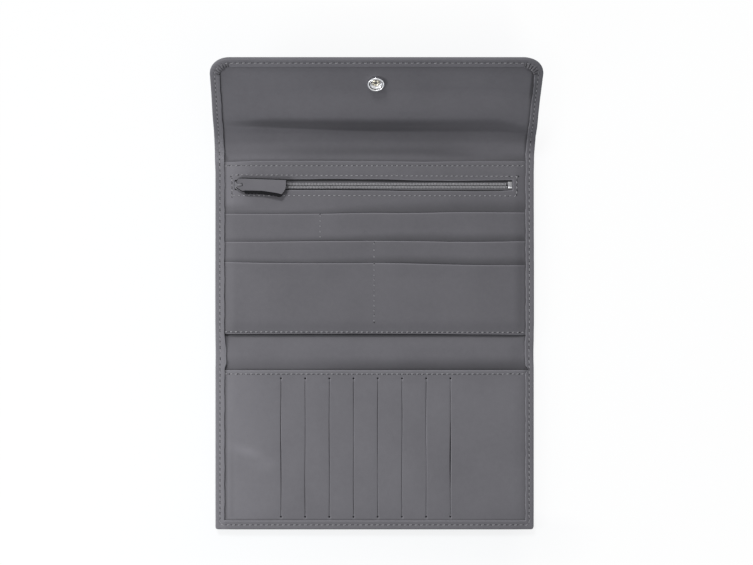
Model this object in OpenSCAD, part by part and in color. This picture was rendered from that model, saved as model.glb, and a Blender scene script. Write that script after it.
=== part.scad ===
// Three-panel leather clutch wallet, lying open on its outer face with the snap flap half raised.
// X runs across the wallet, Y from the card panel to the flap, Z out of the lining.
// The origin is on the outer face, in the middle of the back panel.

/* [Panels] */
// Width of the open wallet
panel_w = 205; // [190:0.5:225]
// Length of the pocket block on the back panel, from its lower to its upper edge
block_len = 112; // [108:0.5:125]
// Length of the card panel, from its pocket mouth to the free edge
card_len = 102; // [96:0.5:112]
// Length of the flap from its fold line to its free edge
flap_len = 55; // [50:0.5:65]
// Bare leather between the pocket block and a fold line
fold_margin = 1.5; // [1.2:0.1:3]
// Bare leather between the lower fold line and the card pocket mouth
mouth_margin = 2.1; // [1.6:0.1:4]
// Distance between the two fold lines of the lower spine
spine_len = 18.9; // [17:0.1:24]
// Radius of the flap's free corners
corner_r = 10.5; // [8:0.5:14]

/* [Leather] */
// Outer leather
shell_t = 1.0; // [0.8:0.1:1.4]
// Stiffening board inside each panel
board_t = 0.5; // [0.4:0.1:0.8]
// Leather lining
lining_t = 0.5; // [0.4:0.1:0.8]
// Skived outer leather where it is turned over the edge
hem_t = 0.7; // [0.5:0.1:1]
// Width of the turned edge
hem_w = 6; // [5:0.5:8]
// Leather of the slip pockets
pocket_t = 0.6; // [0.5:0.1:0.8]
// Leather of the zip panel, the front pocket and the card panel
face_t = 0.7; // [0.6:0.1:0.9]
// Fabric of pouch, tapes and pocket linings
cloth_t = 0.2; // [0.15:0.05:0.25]
// Air between two leaves that lie on each other
leaf_gap = 0.05; // [0.04:0.01:0.08]
// Depth of the two long note pockets
note_gap = 0.3; // [0.2:0.05:0.6]

/* [Flap fold] */
// Angle at which the flap stands open
flap_angle = 47; // [35:1:55]
// Radius of the rounded fold, measured at its fold plane
fold_r = 15; // [13:0.5:18]
// Space between the closed flap's lining and the front panel
snap_gap = 3.0; // [2.9:0.05:3.4]

/* [Slip pockets] */
// Distance from the block's upper edge to the edge of the first slip pocket
tier_1_down = 33.8; // [31:0.1:36]
// Step from the first to the second slip pocket
tier_2_step = 18; // [14:0.5:20]
// Step from the second to the third slip pocket
tier_3_step = 13.7; // [10:0.1:16]
// How far a leaf reaches under the next pocket
leaf_lap = 6.2; // [4:0.1:8]

/* [Zip] */
// Distance from the block's upper edge to the middle of the zip
zip_down = 14.6; // [13:0.1:16]
// Distance from the wallet's left edge to the window in the zip panel
window_in_left = 12.6; // [11.5:0.1:18]
// Distance from the wallet's right edge to that window
window_in_right = 13.6; // [11.5:0.1:18]
// Height of the window
window_h = 6.4; // [6.2:0.1:7]
// Spacing of the teeth
tooth_pitch = 1.27; // [1.2:0.01:1.6]
// Height of the teeth above the tape
tooth_h = 0.9; // [0.8:0.05:1]
// How far a row of teeth reaches from the middle line
tooth_reach = 1.9; // [1.8:0.05:2]
// Half of the channel between the two rows
channel_half = 0.35; // [0.33:0.01:0.4]
// Thickness of the tapes
tape_t = 0.3; // [0.25:0.05:0.35]
// Width of each tape
tape_w = 9; // [8:0.5:11]
// Inside height of the coin pouch
pouch_gap = 1.0; // [1:0.1:1.6]
// Depth of the coin pouch below the zip
pouch_depth = 88; // [70:1:92]
// Length of the slider
slider_len = 8.9; // [8:0.1:10]
// Width of the slider across its shoulders
slider_w = 8; // [7.6:0.1:9]
// Thickness of the slider's plates
wing_t = 0.6; // [0.5:0.05:0.7]
// Free play between the slider and the tapes and teeth
slide_play = 0.1; // [0.08:0.01:0.12]
// Length of the metal stop at the zip's right end
stop_len = 2.8; // [2:0.1:4]

/* [Pull] */
// Length of the leather pull
tab_len = 27.5; // [22:0.5:34]
// Width of the pull at the slider
tab_narrow = 8; // [7:0.1:9]
// Width of the pull at its free end
tab_wide = 10.3; // [9:0.1:12]
// Thickness of the doubled leather
tab_t = 1.4; // [1.2:0.1:1.6]
// Wire of the link that holds the pull
link_wire = 0.9; // [0.8:0.05:1]
// Distance from the slider's nose to the axis of the pull
pivot_in = 3.1; // [3:0.1:3.6]

/* [Card slits] */
// Number of card slits
slit_count = 8; // [4:1:8]
// Spacing of the slits
slit_pitch = 15.6; // [15:0.1:16]
// Distance from the wallet's left edge to the first slit
slit_in = 42.3; // [36:0.1:46]
// Length of a slit between its punched ends
slit_len = 89.3; // [87:0.1:92]
// Distance from the pocket mouth to the slits
slit_down = 4.6; // [3:0.1:6]
// Width of the cut
slit_w = 0.3; // [0.2:0.05:0.6]
// Radius of the punched ends
punch_r = 0.55; // [0.4:0.05:0.8]
// How far each card lining reaches past its slit
card_reach = 46; // [44:0.5:47]

/* [Snap] */
// Distance from the flap's fold line to the snap
snap_from_fold = 35.9; // [32:0.1:38]
// Outer radius of the socket
socket_r = 5.25; // [5:0.05:6]
// Height of the socket above the lining
socket_h = 2.3; // [2.2:0.05:2.4]
// Radius of the hole that takes the stud
socket_bore_r = 3.2; // [3.15:0.05:3.4]
// Radius of the stud's head
stud_r = 2.9; // [2.7:0.05:2.95]
// Height of the stud above the leather
stud_h = 2.0; // [1.9:0.05:2]
// Radius of the cap on the flap's outer face
cap_r = 6; // [5.5:0.1:6.5]
// Height of the cap's dome
cap_h = 1.5; // [1.2:0.1:2]
// Radius of the cap's post
post_r = 1.5; // [1.3:0.05:1.6]

/* [Hidden] */
$fn = 64;

leather = [0.40, 0.395, 0.415];
leather_dark = [0.33, 0.325, 0.345];
board_grey = [0.62, 0.60, 0.56];
cloth = [0.25, 0.25, 0.27];
nylon = [0.48, 0.475, 0.495];
lacquer = [0.36, 0.355, 0.375];
silver = [0.80, 0.80, 0.82];

half_w = panel_w / 2;

// Levels above the outer face
board_z = shell_t;
lining_z = board_z + board_t;
inner_z = lining_z + lining_t;
hem_z = inner_z + leaf_gap;
axis_z = hem_z + hem_t + leaf_gap;

pouch_z = inner_z + note_gap;
tape_z = pouch_z + 2 * cloth_t + pouch_gap;
face_z = tape_z + tape_t;
tier_z = [
  face_z,
  face_z + face_t + leaf_gap,
  face_z + face_t + pocket_t + 2 * leaf_gap,
  face_z + face_t + 2 * pocket_t + 3 * leaf_gap
];

backing_z = inner_z + note_gap;
card_levels = 4;
card_lining_t = 0.75 * cloth_t;
card_z = backing_z + cloth_t + leaf_gap;
card_face_z = card_z + card_levels * (card_lining_t + leaf_gap) + leaf_gap;
card_top_z = card_face_z + face_t;

// Places along Y
block_top = block_len / 2;
block_low = -block_len / 2;
fold_low = block_low - fold_margin;
fold_front = fold_low - spine_len;
mouth_y = fold_front - mouth_margin;
free_y = mouth_y - card_len;
fold_top = block_top + fold_margin;
tier_y = [
  block_top,
  block_top - tier_1_down,
  block_top - tier_1_down - tier_2_step,
  block_top - tier_1_down - tier_2_step - tier_3_step
];

// The flap's fold: a rounded part and a straight part that brings the closed flap to the snap
flap_turn = (180 - flap_angle) / 2;
closed_front_z = 2 * axis_z + spine_len;
fold_rise = closed_front_z + snap_gap - 2 * axis_z + inner_z;
turn_end = flap_turn + flap_angle;
fold_flat = (fold_rise - fold_r * (cos(flap_turn) - cos(turn_end))) / sin(turn_end);
bend_end_y = fold_top + fold_r * sin(flap_angle);
bend_end_z = axis_z + fold_r * (1 - cos(flap_angle));
crease_y = bend_end_y + fold_flat * cos(flap_angle);
crease_z = bend_end_z + fold_flat * sin(flap_angle);
closed_crease_y = fold_top + fold_r * (sin(turn_end) - sin(flap_turn)) + fold_flat * cos(turn_end);
stud_y = fold_front - (closed_crease_y - snap_from_fold - fold_low);

// A leaf stops short of a fold line, further on the outside, so the fold can lie back
function relief(w) = leaf_gap + (axis_z - w) * tan(flap_angle / 4);

// Boards and cloth stop this far from a fold line, a cutter reaches this far past a face
board_in = 1;
past = 1;

wall_in = half_w - hem_t;
leaf_half = wall_in - leaf_gap;
hem_in = half_w - hem_w;

zip_y = block_top - zip_down;
window_left = -half_w + window_in_left;
window_right = half_w - window_in_right;
slit_first = -half_w + slit_in;
slot_past = 0.4;
slot_half = window_h / 2 + slot_past;
tape_past = 3;
end_play = 0.2;
stop_right = window_right - end_play;
stop_left = stop_right - stop_len;
slider_nose = window_left + end_play / 2;
top_stop_len = 0.6;
chain_left = window_left + end_play + top_stop_len + leaf_gap;
chain_right = stop_left - leaf_gap;
teeth_z = face_z;
wing_z = teeth_z + tooth_h + slide_play;
wing_top = wing_z + wing_t;
pivot_x = slider_nose + pivot_in;
tab_lift = 0.75;
pivot_z = wing_top + tab_lift + tab_t / 2;
link_room = 0.55;
bridge_in = pivot_in - link_wire / 2 - link_room;
bridge_out = pivot_in + link_wire / 2 + link_room;
bridge_leg = 0.7;
bridge_half = 0.9;
strap_gap = 0.2;
strap_t = 0.6;
strap_z = pivot_z + link_wire / 2 + strap_gap;
link_side = 0.4;
link_half = bridge_half + link_side + link_wire / 2;
tab_gap = 0.3;
tab_in = bridge_out - pivot_in + bridge_leg + tab_gap;
link_in_tab = 2;
link_reach = tab_in + link_in_tab;
stop_room = 0.3;

echo(fold_low = fold_low, fold_front = fold_front, fold_top = fold_top, axis_z = axis_z);
echo(crease_y = crease_y, crease_z = crease_z, flap_turn = flap_turn, stud_y = stud_y);
echo(pivot_x = pivot_x, zip_y = zip_y, pivot_z = pivot_z, free_y = free_y, inner_z = inner_z);
echo(travel = stop_left - stop_room - (slider_nose + slider_len), fold_flat = fold_flat);

// A flat leaf between two X and two Y values
module leaf(x0, x1, y0, y1, z0, t) {
  translate([x0, y0, z0]) cube([x1 - x0, y1 - y0, t]);
}

// A strip beside the left and the right edge, drawn as a profile along Y and Z
module both_sides(x_in, x_out) {
  for (side = [-1, 1])
    translate([side < 0 ? -x_out : x_in, 0, 0])
      rotate([90, 0, 90]) linear_extrude(x_out - x_in) children();
}

// Places a flat flap, drawn from its fold line along +Y, at its open angle
module on_flap() {
  translate([0, crease_y, crease_z]) rotate([flap_angle, 0, 0]) translate([0, 0, -axis_z]) children();
}

// A point of the flap's fold: its distance along the fold plane and its level above the outer face
function fold_point(along, w) =
  let (
    r = fold_r + axis_z - w,
    arc_len = fold_r * flap_angle * PI / 180,
    a = min(along, arc_len) / fold_r * 180 / PI,
    flat = max(along - arc_len, 0)
  )
  [fold_top + r * sin(a) + flat * cos(a), axis_z + fold_r - r * cos(a) + flat * sin(a)];

// A leaf of the flap's fold between two X values, rounded first and straight after that
module fold_leaf(x0, x1, w, t) {
  bend_steps = 18;
  arc_len = fold_r * flap_angle * PI / 180;
  start = relief(w);
  along = concat(
    [for (i = [0:bend_steps]) start + (arc_len - start) * i / bend_steps],
    [arc_len + fold_flat - relief(w)]
  );
  last = len(along) - 1;
  translate([x0, 0, 0]) rotate([90, 0, 90]) linear_extrude(x1 - x0)
    polygon(concat(
      [for (i = [0:last]) fold_point(along[i], w)],
      [for (i = [last:-1:0]) fold_point(along[i], w + t)]
    ));
}

// Outline of the flap, drawn in by a margin on its three free edges
module flap_outline(margin, start) {
  w = half_w - margin;
  r = corner_r - margin;
  top = flap_len - margin;
  polygon(concat(
    [[-w, start], [w, start]],
    [for (a = [0:9:90]) [w - r + r * cos(a), top - r + r * sin(a)]],
    [for (a = [90:9:180]) [-w + r + r * cos(a), top - r + r * sin(a)]]
  ));
}

// Outline of the card panel's leather, with its free edge at the low end
module front_outline(margin, top) {
  w = half_w - margin;
  translate([-w, free_y + margin]) square([2 * w, top - free_y - margin]);
}

// Height of the turned edge along the pocket block: it climbs over each slip pocket
ramp = 3.5;
ramp_lead = 0.2;
function tier_top(i) = tier_z[i] + (i == 3 ? face_t : pocket_t);
hem_low_points = concat(
  [for (i = [3:-1:1]) each [
    [i == 3 ? fold_low + leaf_gap : tier_y[i + 1] + ramp, tier_top(i) + leaf_gap],
    [tier_y[i] + ramp_lead, tier_top(i) + leaf_gap]
  ]],
  [[tier_y[1] + ramp, face_z + face_t + leaf_gap]]
);

module back_shell() {
  top_end = fold_top - relief(0);
  color(leather) union() {
    leaf(-half_w, half_w, fold_low + leaf_gap, top_end, 0, shell_t);
    both_sides(hem_in, half_w) polygon(concat(
      hem_low_points,
      [[top_end, face_z + face_t + leaf_gap], [top_end, face_z + face_t + leaf_gap + hem_t]],
      [for (i = [len(hem_low_points) - 1:-1:0]) hem_low_points[i] + [0, hem_t]]
    ));
    both_sides(wall_in, half_w) polygon(concat(
      [[fold_low + leaf_gap, shell_t / 2], [top_end, shell_t / 2],
       [top_end, face_z + face_t + leaf_gap + hem_t / 2]],
      [for (i = [len(hem_low_points) - 1:-1:0]) hem_low_points[i] + [0, hem_t / 2]]
    ));
  }
}

module back_board() {
  color(board_grey) leaf(-leaf_half, leaf_half, fold_low + board_in, fold_top - board_in, board_z, board_t);
}

module back_lining() {
  color(leather_dark)
    leaf(-leaf_half, leaf_half, fold_low + leaf_gap, fold_top - relief(lining_z), lining_z, lining_t);
}

module coin_pouch() {
  wall = 2 * cloth_t;
  low = zip_y - pouch_depth;
  high = zip_y + tape_w;
  half = hem_in - board_in;
  color(cloth) difference() {
    leaf(-half, half, low, high, pouch_z, pouch_gap + 2 * cloth_t);
    leaf(-half + wall, half - wall, low + wall, high - wall, pouch_z + cloth_t, pouch_gap);
    leaf(window_left - slot_past, window_right + slot_past, zip_y - slot_half, zip_y + slot_half,
         pouch_z + cloth_t + pouch_gap / 2, pouch_gap);
  }
}

module zip_tape(side) {
  color(cloth) translate([0, zip_y, 0]) mirror([0, side < 0 ? 1 : 0, 0])
    leaf(window_left - tape_past, window_right + tape_past, channel_half, channel_half + tape_w,
         tape_z, tape_t);
}

module zip_tape_upper() { zip_tape(1); }
module zip_tape_lower() { zip_tape(-1); }

// One row of teeth with the bead that carries it along the edge of its tape
module zip_teeth(side) {
  shift = side > 0 ? 0 : tooth_pitch / 2;
  count = floor((chain_right - chain_left - tooth_pitch / 2) / tooth_pitch);
  tooth = 0.62 * tooth_pitch;
  bead_h = 0.55 * tooth_h;
  bead_in = tooth_reach - 0.7;
  tooth_out = tooth_reach - 0.1;
  color(nylon) translate([chain_left, zip_y, teeth_z]) mirror([0, side < 0 ? 1 : 0, 0]) union() {
    leaf(0, chain_right - chain_left, bead_in, tooth_reach, 0, bead_h);
    for (i = [0:count - 1])
      translate([i * tooth_pitch + shift, channel_half, 0])
        cube([tooth, tooth_out - channel_half, tooth_h]);
  }
}

module zip_teeth_upper() { zip_teeth(1); }
module zip_teeth_lower() { zip_teeth(-1); }

module zip_top_stops() {
  color(silver) translate([window_left + end_play, zip_y, 0])
    for (side = [-1, 1]) mirror([0, side < 0 ? 1 : 0, 0])
      leaf(0, top_stop_len, channel_half, tooth_reach, teeth_z, tooth_h);
}

module zip_end_stop() {
  half = tooth_reach + 0.4;
  under_t = 0.5;
  over_t = 0.2;
  color(silver) translate([0, zip_y, 0]) difference() {
    leaf(stop_left, stop_right, -half, half, tape_z - under_t, under_t + tape_t + tooth_h + over_t);
    for (side = [0, 1]) mirror([0, side, 0])
      leaf(stop_left - past, stop_right + past, channel_half, half + past, tape_z, tape_t);
  }
}

module zip_panel() {
  color(leather) difference() {
    leaf(-leaf_half, leaf_half, tier_y[1] - leaf_lap, block_top, face_z, face_t);
    leaf(window_left, window_right, zip_y - window_h / 2, zip_y + window_h / 2,
         face_z - past, face_t + 2 * past);
  }
}

module zip_panel_lining() {
  color(cloth)
    leaf(-leaf_half, leaf_half, block_low + board_in, tier_y[1] - leaf_lap - leaf_gap, face_z, cloth_t);
}

module slip_pocket(i) {
  color(leather) leaf(-leaf_half, leaf_half, tier_y[i + 1] - leaf_lap, tier_y[i], tier_z[i], pocket_t);
}

module slip_lining(i) {
  color(cloth)
    leaf(-leaf_half, leaf_half, block_low + board_in, tier_y[i + 1] - leaf_lap - leaf_gap,
         tier_z[i], cloth_t);
}

module slip_pocket_1() { slip_pocket(1); }
module slip_pocket_1_lining() { slip_lining(1); }
module slip_pocket_2() { slip_pocket(2); }
module slip_pocket_2_lining() { slip_lining(2); }

module slip_pocket_3() {
  color(leather) leaf(-leaf_half, leaf_half, block_low, tier_y[3], tier_z[3], face_t);
}

module spine_shell() {
  low = fold_front + leaf_gap;
  high = fold_low - leaf_gap;
  color(leather) union() {
    leaf(-half_w, half_w, low, high, 0, shell_t);
    both_sides(hem_in, half_w) translate([low, hem_z]) square([high - low, hem_t]);
    both_sides(wall_in, half_w) translate([low, shell_t / 2]) square([high - low, hem_z + hem_t - shell_t]);
  }
}

module spine_interlining() {
  color(board_grey) leaf(-leaf_half, leaf_half, fold_front + board_in, fold_low - board_in, board_z, board_t);
}

module spine_lining() {
  color(leather_dark)
    leaf(-leaf_half, leaf_half, fold_front + leaf_gap, fold_low - leaf_gap, lining_z, lining_t);
}

module front_shell() {
  top_end = fold_front - leaf_gap;
  rise_y = mouth_y + 2 * leaf_gap;
  hem_card_z = card_top_z + leaf_gap;
  color(leather) difference() {
    union() {
      linear_extrude(shell_t) front_outline(0, top_end);
      translate([0, 0, shell_t / 2]) linear_extrude(hem_card_z + hem_t - shell_t) difference() {
        front_outline(0, rise_y);
        front_outline(hem_t, rise_y + past);
      }
      translate([0, 0, hem_card_z]) linear_extrude(hem_t) difference() {
        front_outline(0, rise_y);
        front_outline(hem_w, rise_y + past);
      }
      both_sides(hem_in, half_w) polygon([
        [rise_y, hem_z], [top_end, hem_z], [top_end, hem_z + hem_t], [rise_y, hem_card_z + hem_t]
      ]);
      both_sides(wall_in, half_w) translate([rise_y, shell_t / 2])
        square([top_end - rise_y, hem_z + hem_t - shell_t]);
    }
    translate([0, stud_y, -past]) cylinder(r = post_r, h = shell_t + 2 * past);
  }
}

module front_board() {
  eyelet_room = 0.2;
  color(board_grey) difference() {
    leaf(-leaf_half, leaf_half, free_y + hem_t + leaf_gap, fold_front - board_in, board_z, board_t);
    translate([0, stud_y, 0]) cylinder(r = eyelet_r + eyelet_room, h = inner_z);
  }
}

module front_lining() {
  color(leather_dark)
    leaf(-leaf_half, leaf_half, free_y + hem_t + leaf_gap, fold_front - leaf_gap, lining_z, lining_t);
}

module card_backing() {
  color(cloth)
    leaf(-leaf_half, leaf_half, free_y + hem_t + leaf_gap, mouth_y - mouth_set, backing_z, cloth_t);
}

// Cloth behind the card panel starts this far below the pocket mouth
mouth_set = 2;

// A thin lining behind each slit; every fourth one lies at the same level
module card_linings() {
  seam = 0.5;
  below = 2.5;
  color(cloth) for (i = [0:slit_count - 1])
    leaf(slit_first + i * slit_pitch + seam,
         min(slit_first + i * slit_pitch + card_reach, leaf_half),
         mouth_y - slit_down - slit_len - below, mouth_y - mouth_set,
         card_z + (i % card_levels) * (card_lining_t + leaf_gap), card_lining_t);
}

module card_panel() {
  slit_high = mouth_y - slit_down;
  color(leather) translate([0, 0, card_face_z]) linear_extrude(face_t) difference() {
    translate([-leaf_half, free_y + hem_t + leaf_gap])
      square([2 * leaf_half, mouth_y - free_y - hem_t - leaf_gap]);
    for (i = [0:slit_count - 1]) translate([slit_first + i * slit_pitch, slit_high - slit_len]) {
      translate([-slit_w / 2, 0]) square([slit_w, slit_len]);
      circle(punch_r);
      translate([0, slit_len]) circle(punch_r);
    }
  }
}

// The stud stands out of the outer face, below the card panel
eyelet_r = 3.4;
tube_wall = 0.35;
tube_r = post_r - 0.2;

module snap_stud() {
  bore = tube_r + leaf_gap;
  base_r = stud_r + 1.3;
  base_t = 0.3;
  neck = stud_r - 0.5;
  round_r = stud_h / 4;
  color(silver) translate([0, stud_y, 0]) mirror([0, 0, 1]) rotate_extrude()
    polygon(concat(
      [[bore, 0], [base_r, 0], [base_r, base_t], [neck, base_t + leaf_gap], [neck, stud_h - 2 * round_r]],
      [for (a = [-60:15:75]) [stud_r - round_r + round_r * cos(a), stud_h - round_r + round_r * sin(a)]],
      [[bore, stud_h]]
    ));
}

module snap_eyelet() {
  top_z = board_z + board_t - 2 * leaf_gap;
  low_z = -stud_h + tube_wall;
  color(silver) translate([0, stud_y, 0]) rotate_extrude()
    polygon([
      [tube_r - tube_wall, low_z], [tube_r, low_z], [tube_r, board_z],
      [eyelet_r, board_z], [eyelet_r, top_z], [tube_r - tube_wall, top_z]
    ]);
}

module flap_fold_shell() {
  color(leather) union() {
    fold_leaf(-half_w, half_w, 0, shell_t);
    for (side = [0, 1]) mirror([side, 0, 0]) {
      fold_leaf(hem_in, half_w, hem_z, hem_t);
      fold_leaf(wall_in, half_w, shell_t / 2, hem_z + hem_t - shell_t);
    }
  }
}

module flap_fold_interlining() {
  color(board_grey) fold_leaf(-leaf_half, leaf_half, board_z + leaf_gap, board_t - 2 * leaf_gap);
}

module flap_fold_lining() {
  color(leather_dark) fold_leaf(-leaf_half, leaf_half, lining_z, lining_t);
}

module flap_shell() {
  start = relief(0);
  color(leather) on_flap() difference() {
    union() {
      linear_extrude(shell_t) flap_outline(0, start);
      translate([0, 0, shell_t / 2]) linear_extrude(hem_z + hem_t - shell_t) difference() {
        flap_outline(0, relief(shell_t));
        flap_outline(hem_t, -past);
      }
      translate([0, 0, hem_z]) linear_extrude(hem_t) difference() {
        flap_outline(0, relief(hem_z));
        flap_outline(hem_w, -past);
      }
    }
    post_hole();
  }
}

module post_hole() {
  translate([0, snap_from_fold, -past]) cylinder(r = post_r + leaf_gap, h = axis_z + 2 * past);
}

module flap_leaf(w, t) {
  on_flap() difference() {
    translate([0, 0, w]) linear_extrude(t) flap_outline(hem_t + leaf_gap, relief(w));
    post_hole();
  }
}

module flap_board() {
  color(board_grey) flap_leaf(board_z, board_t);
}

module flap_lining() {
  color(leather_dark) flap_leaf(lining_z, lining_t);
}

// The cap's hollow post goes through the flap and is flared into petals inside the socket
socket_floor = 0.35;
petals = 6;

module snap_cap() {
  dome_r = (cap_r * cap_r + cap_h * cap_h) / (2 * cap_h);
  flare_z = inner_z + socket_floor;
  flare_r = post_r + 0.9;
  flare_t = 0.2;
  post_wall = 0.4;
  slit = 0.24;
  color(silver) on_flap() translate([0, snap_from_fold, 0]) difference() {
    union() {
      intersection() {
        translate([0, 0, dome_r - cap_h]) sphere(r = dome_r, $fn = 96);
        translate([0, 0, -cap_h]) cylinder(r = cap_r, h = cap_h);
      }
      cylinder(r = post_r, h = flare_z + flare_t);
      translate([0, 0, flare_z]) rotate_extrude()
        polygon([
          [post_r - flare_t, 0], [flare_r, 0], [flare_r, flare_t],
          [post_r, 2 * flare_t], [post_r - flare_t, 2 * flare_t]
        ]);
    }
    translate([0, 0, shell_t]) cylinder(r = post_r - post_wall, h = flare_z + past);
    for (i = [0:petals - 1]) rotate([0, 0, i * 360 / petals])
      translate([post_r + leaf_gap, -slit / 2, flare_z - leaf_gap / 4]) cube([flare_r, slit, past]);
  }
}

// A groove in the socket's bore holds the ring of spring wire
groove_z = 0.8;
groove_h = 0.45;
groove_r = socket_bore_r + 0.4;

module snap_socket() {
  rim = 0.5;
  lead = 0.2;
  color(silver) on_flap() translate([0, snap_from_fold, inner_z]) rotate_extrude()
    polygon(concat(
      [[post_r + leaf_gap, 0], [socket_r - lead, 0], [socket_r, lead]],
      [for (a = [0:22.5:180]) [socket_r - rim + rim * cos(a), socket_h - rim + rim * sin(a)]],
      [[socket_bore_r, socket_h - 2 * rim], [socket_bore_r, groove_z + groove_h],
       [groove_r, groove_z + groove_h], [groove_r, groove_z], [socket_bore_r, groove_z],
       [socket_bore_r, socket_floor], [post_r + leaf_gap, socket_floor]]
    ));
}

module snap_spring() {
  wire_r = 0.18;
  ring_angle = 325;
  color(silver) on_flap() translate([0, snap_from_fold, inner_z + groove_z + groove_h / 2])
    rotate_extrude(angle = ring_angle)
      translate([groove_r - wire_r - 2 * leaf_gap, 0]) circle(wire_r, $fn = 24);
}

// Slider: two plates joined by a thin neck that runs in the channel between the rows of teeth
module slider_outline(w, front) {
  shoulder = 0.34 * slider_len;
  waist = 0.62 * slider_len;
  half = [0.19 * w, 0.5 * w, 0.49 * w, 0.36 * w];
  polygon([
    [front, -half[0]], [shoulder, -half[1]], [waist, -half[2]], [slider_len, -half[3]],
    [slider_len, half[3]], [waist, half[2]], [shoulder, half[1]], [front, half[0]]
  ]);
}

module slider() {
  flange_in = tooth_reach + 2 * slide_play;
  flange_t = 0.6;
  flange_z = face_z + slide_play;
  lower_z = tape_z - slide_play - wing_t;
  lower_w = 0.78 * slider_w;
  lower_front = 1.2;
  neck_in = 1.3;
  neck_len = 1.8;
  neck_half = channel_half - 1.5 * slide_play;
  joint_z = wing_z + wing_t / 2;
  color(lacquer) translate([slider_nose, zip_y, 0]) union() {
    translate([0, 0, wing_z]) linear_extrude(wing_t) slider_outline(slider_w, 0);
    translate([0, 0, lower_z]) linear_extrude(wing_t) slider_outline(lower_w, lower_front);
    leaf(neck_in, neck_in + neck_len, -neck_half, neck_half, lower_z, joint_z - lower_z);
    for (side = [0, 1]) mirror([0, side, 0])
      leaf(neck_in + neck_half, slider_len - flange_t / 2, flange_in, flange_in + flange_t,
           flange_z, joint_z - flange_z);
    difference() {
      leaf(bridge_in - bridge_leg, bridge_out + bridge_leg, -bridge_half, bridge_half,
           joint_z, strap_z + strap_t - joint_z);
      leaf(bridge_in, bridge_out, -slider_w, slider_w, wing_top, strap_z - wing_top);
    }
  }
}

// Wire loop through the slider's bridge, bent round at its four corners
module pull_link() {
  r = link_wire / 2;
  bend = link_wire * 0.85;
  straight = 2 * (link_half - bend);
  color(silver) translate([pivot_x, zip_y, pivot_z]) union() {
    for (x = [0, link_reach])
      translate([x, -straight / 2, 0]) rotate([-90, 0, 0]) cylinder(r = r, h = straight);
    for (side = [-1, 1])
      translate([bend, side * link_half, 0]) rotate([0, 90, 0]) cylinder(r = r, h = link_reach - 2 * bend);
    for (side = [0, 1]) translate([link_reach / 2, 0, 0]) rotate([0, 0, 180 * side])
      for (corner = [0, 1]) mirror([0, corner, 0])
        translate([link_reach / 2 - bend, link_half - bend, 0])
          rotate_extrude(angle = 90) translate([bend, 0]) circle(r);
  }
}

module pull_tab() {
  slot_r = link_wire / 2 + 2 * leaf_gap;
  slot_side = link_half + slot_r;
  chamfer = 2.2;
  color(leather) translate([pivot_x, zip_y, pivot_z]) difference() {
    translate([0, 0, -tab_t / 2]) linear_extrude(tab_t) polygon([
      [tab_in, -tab_narrow / 2], [tab_in + tab_len - chamfer, -tab_wide / 2],
      [tab_in + tab_len, -tab_wide / 2 + chamfer], [tab_in + tab_len, tab_wide / 2 - chamfer],
      [tab_in + tab_len - chamfer, tab_wide / 2], [tab_in, tab_narrow / 2]
    ]);
    leaf(tab_in - past, link_reach + slot_r, -slot_side, slot_side, -slot_r, 2 * slot_r);
  }
}

back_shell();
back_board();
back_lining();
coin_pouch();
zip_tape_upper();
zip_tape_lower();
zip_teeth_upper();
zip_teeth_lower();
zip_top_stops();
zip_end_stop();
zip_panel();
zip_panel_lining();
slip_pocket_1();
slip_pocket_1_lining();
slip_pocket_2();
slip_pocket_2_lining();
slip_pocket_3();
spine_shell();
spine_interlining();
spine_lining();
front_shell();
front_board();
front_lining();
card_backing();
card_linings();
card_panel();
snap_stud();
snap_eyelet();
flap_fold_shell();
flap_fold_interlining();
flap_fold_lining();
flap_shell();
flap_board();
flap_lining();
snap_cap();
snap_socket();
snap_spring();
slider();
pull_link();
pull_tab();
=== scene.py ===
# %% [markdown]
# # An open three-panel leather clutch wallet
# The imported CAD model is the fixed frame: it holds the real sizes and the bodies that turn and slide.
# This file dresses it. Every piece is made in metres in the same frame, so nothing is fitted by eye,
# and every piece on a single body hangs on that body; a piece that spans a bend stays where it is made.

import math

import bpy
import bmesh
import numpy as np
from mathutils import Matrix, Vector


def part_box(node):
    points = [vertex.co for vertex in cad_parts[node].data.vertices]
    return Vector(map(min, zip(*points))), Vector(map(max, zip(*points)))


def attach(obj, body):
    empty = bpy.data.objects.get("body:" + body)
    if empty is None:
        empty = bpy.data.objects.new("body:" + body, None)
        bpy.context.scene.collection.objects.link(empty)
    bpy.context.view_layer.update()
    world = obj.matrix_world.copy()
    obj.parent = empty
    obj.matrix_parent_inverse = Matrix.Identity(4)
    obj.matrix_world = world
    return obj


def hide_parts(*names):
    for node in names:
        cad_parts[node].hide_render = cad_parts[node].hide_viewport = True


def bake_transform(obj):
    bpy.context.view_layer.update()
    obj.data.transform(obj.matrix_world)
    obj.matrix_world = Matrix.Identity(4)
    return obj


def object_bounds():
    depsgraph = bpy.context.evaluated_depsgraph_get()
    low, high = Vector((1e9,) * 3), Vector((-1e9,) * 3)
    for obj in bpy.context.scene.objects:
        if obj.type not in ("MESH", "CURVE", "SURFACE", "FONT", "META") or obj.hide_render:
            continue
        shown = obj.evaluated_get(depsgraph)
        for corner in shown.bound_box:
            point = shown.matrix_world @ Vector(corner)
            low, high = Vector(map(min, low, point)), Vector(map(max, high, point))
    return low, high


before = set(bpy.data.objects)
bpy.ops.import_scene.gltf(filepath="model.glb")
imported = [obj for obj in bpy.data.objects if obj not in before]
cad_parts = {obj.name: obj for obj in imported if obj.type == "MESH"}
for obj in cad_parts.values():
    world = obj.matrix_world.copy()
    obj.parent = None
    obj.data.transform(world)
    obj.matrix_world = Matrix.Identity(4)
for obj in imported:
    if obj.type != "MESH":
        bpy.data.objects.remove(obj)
cad_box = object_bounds()
print("CAD box in mm:", [[round(x * 1000, 1) for x in corner] for corner in cad_box])

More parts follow.
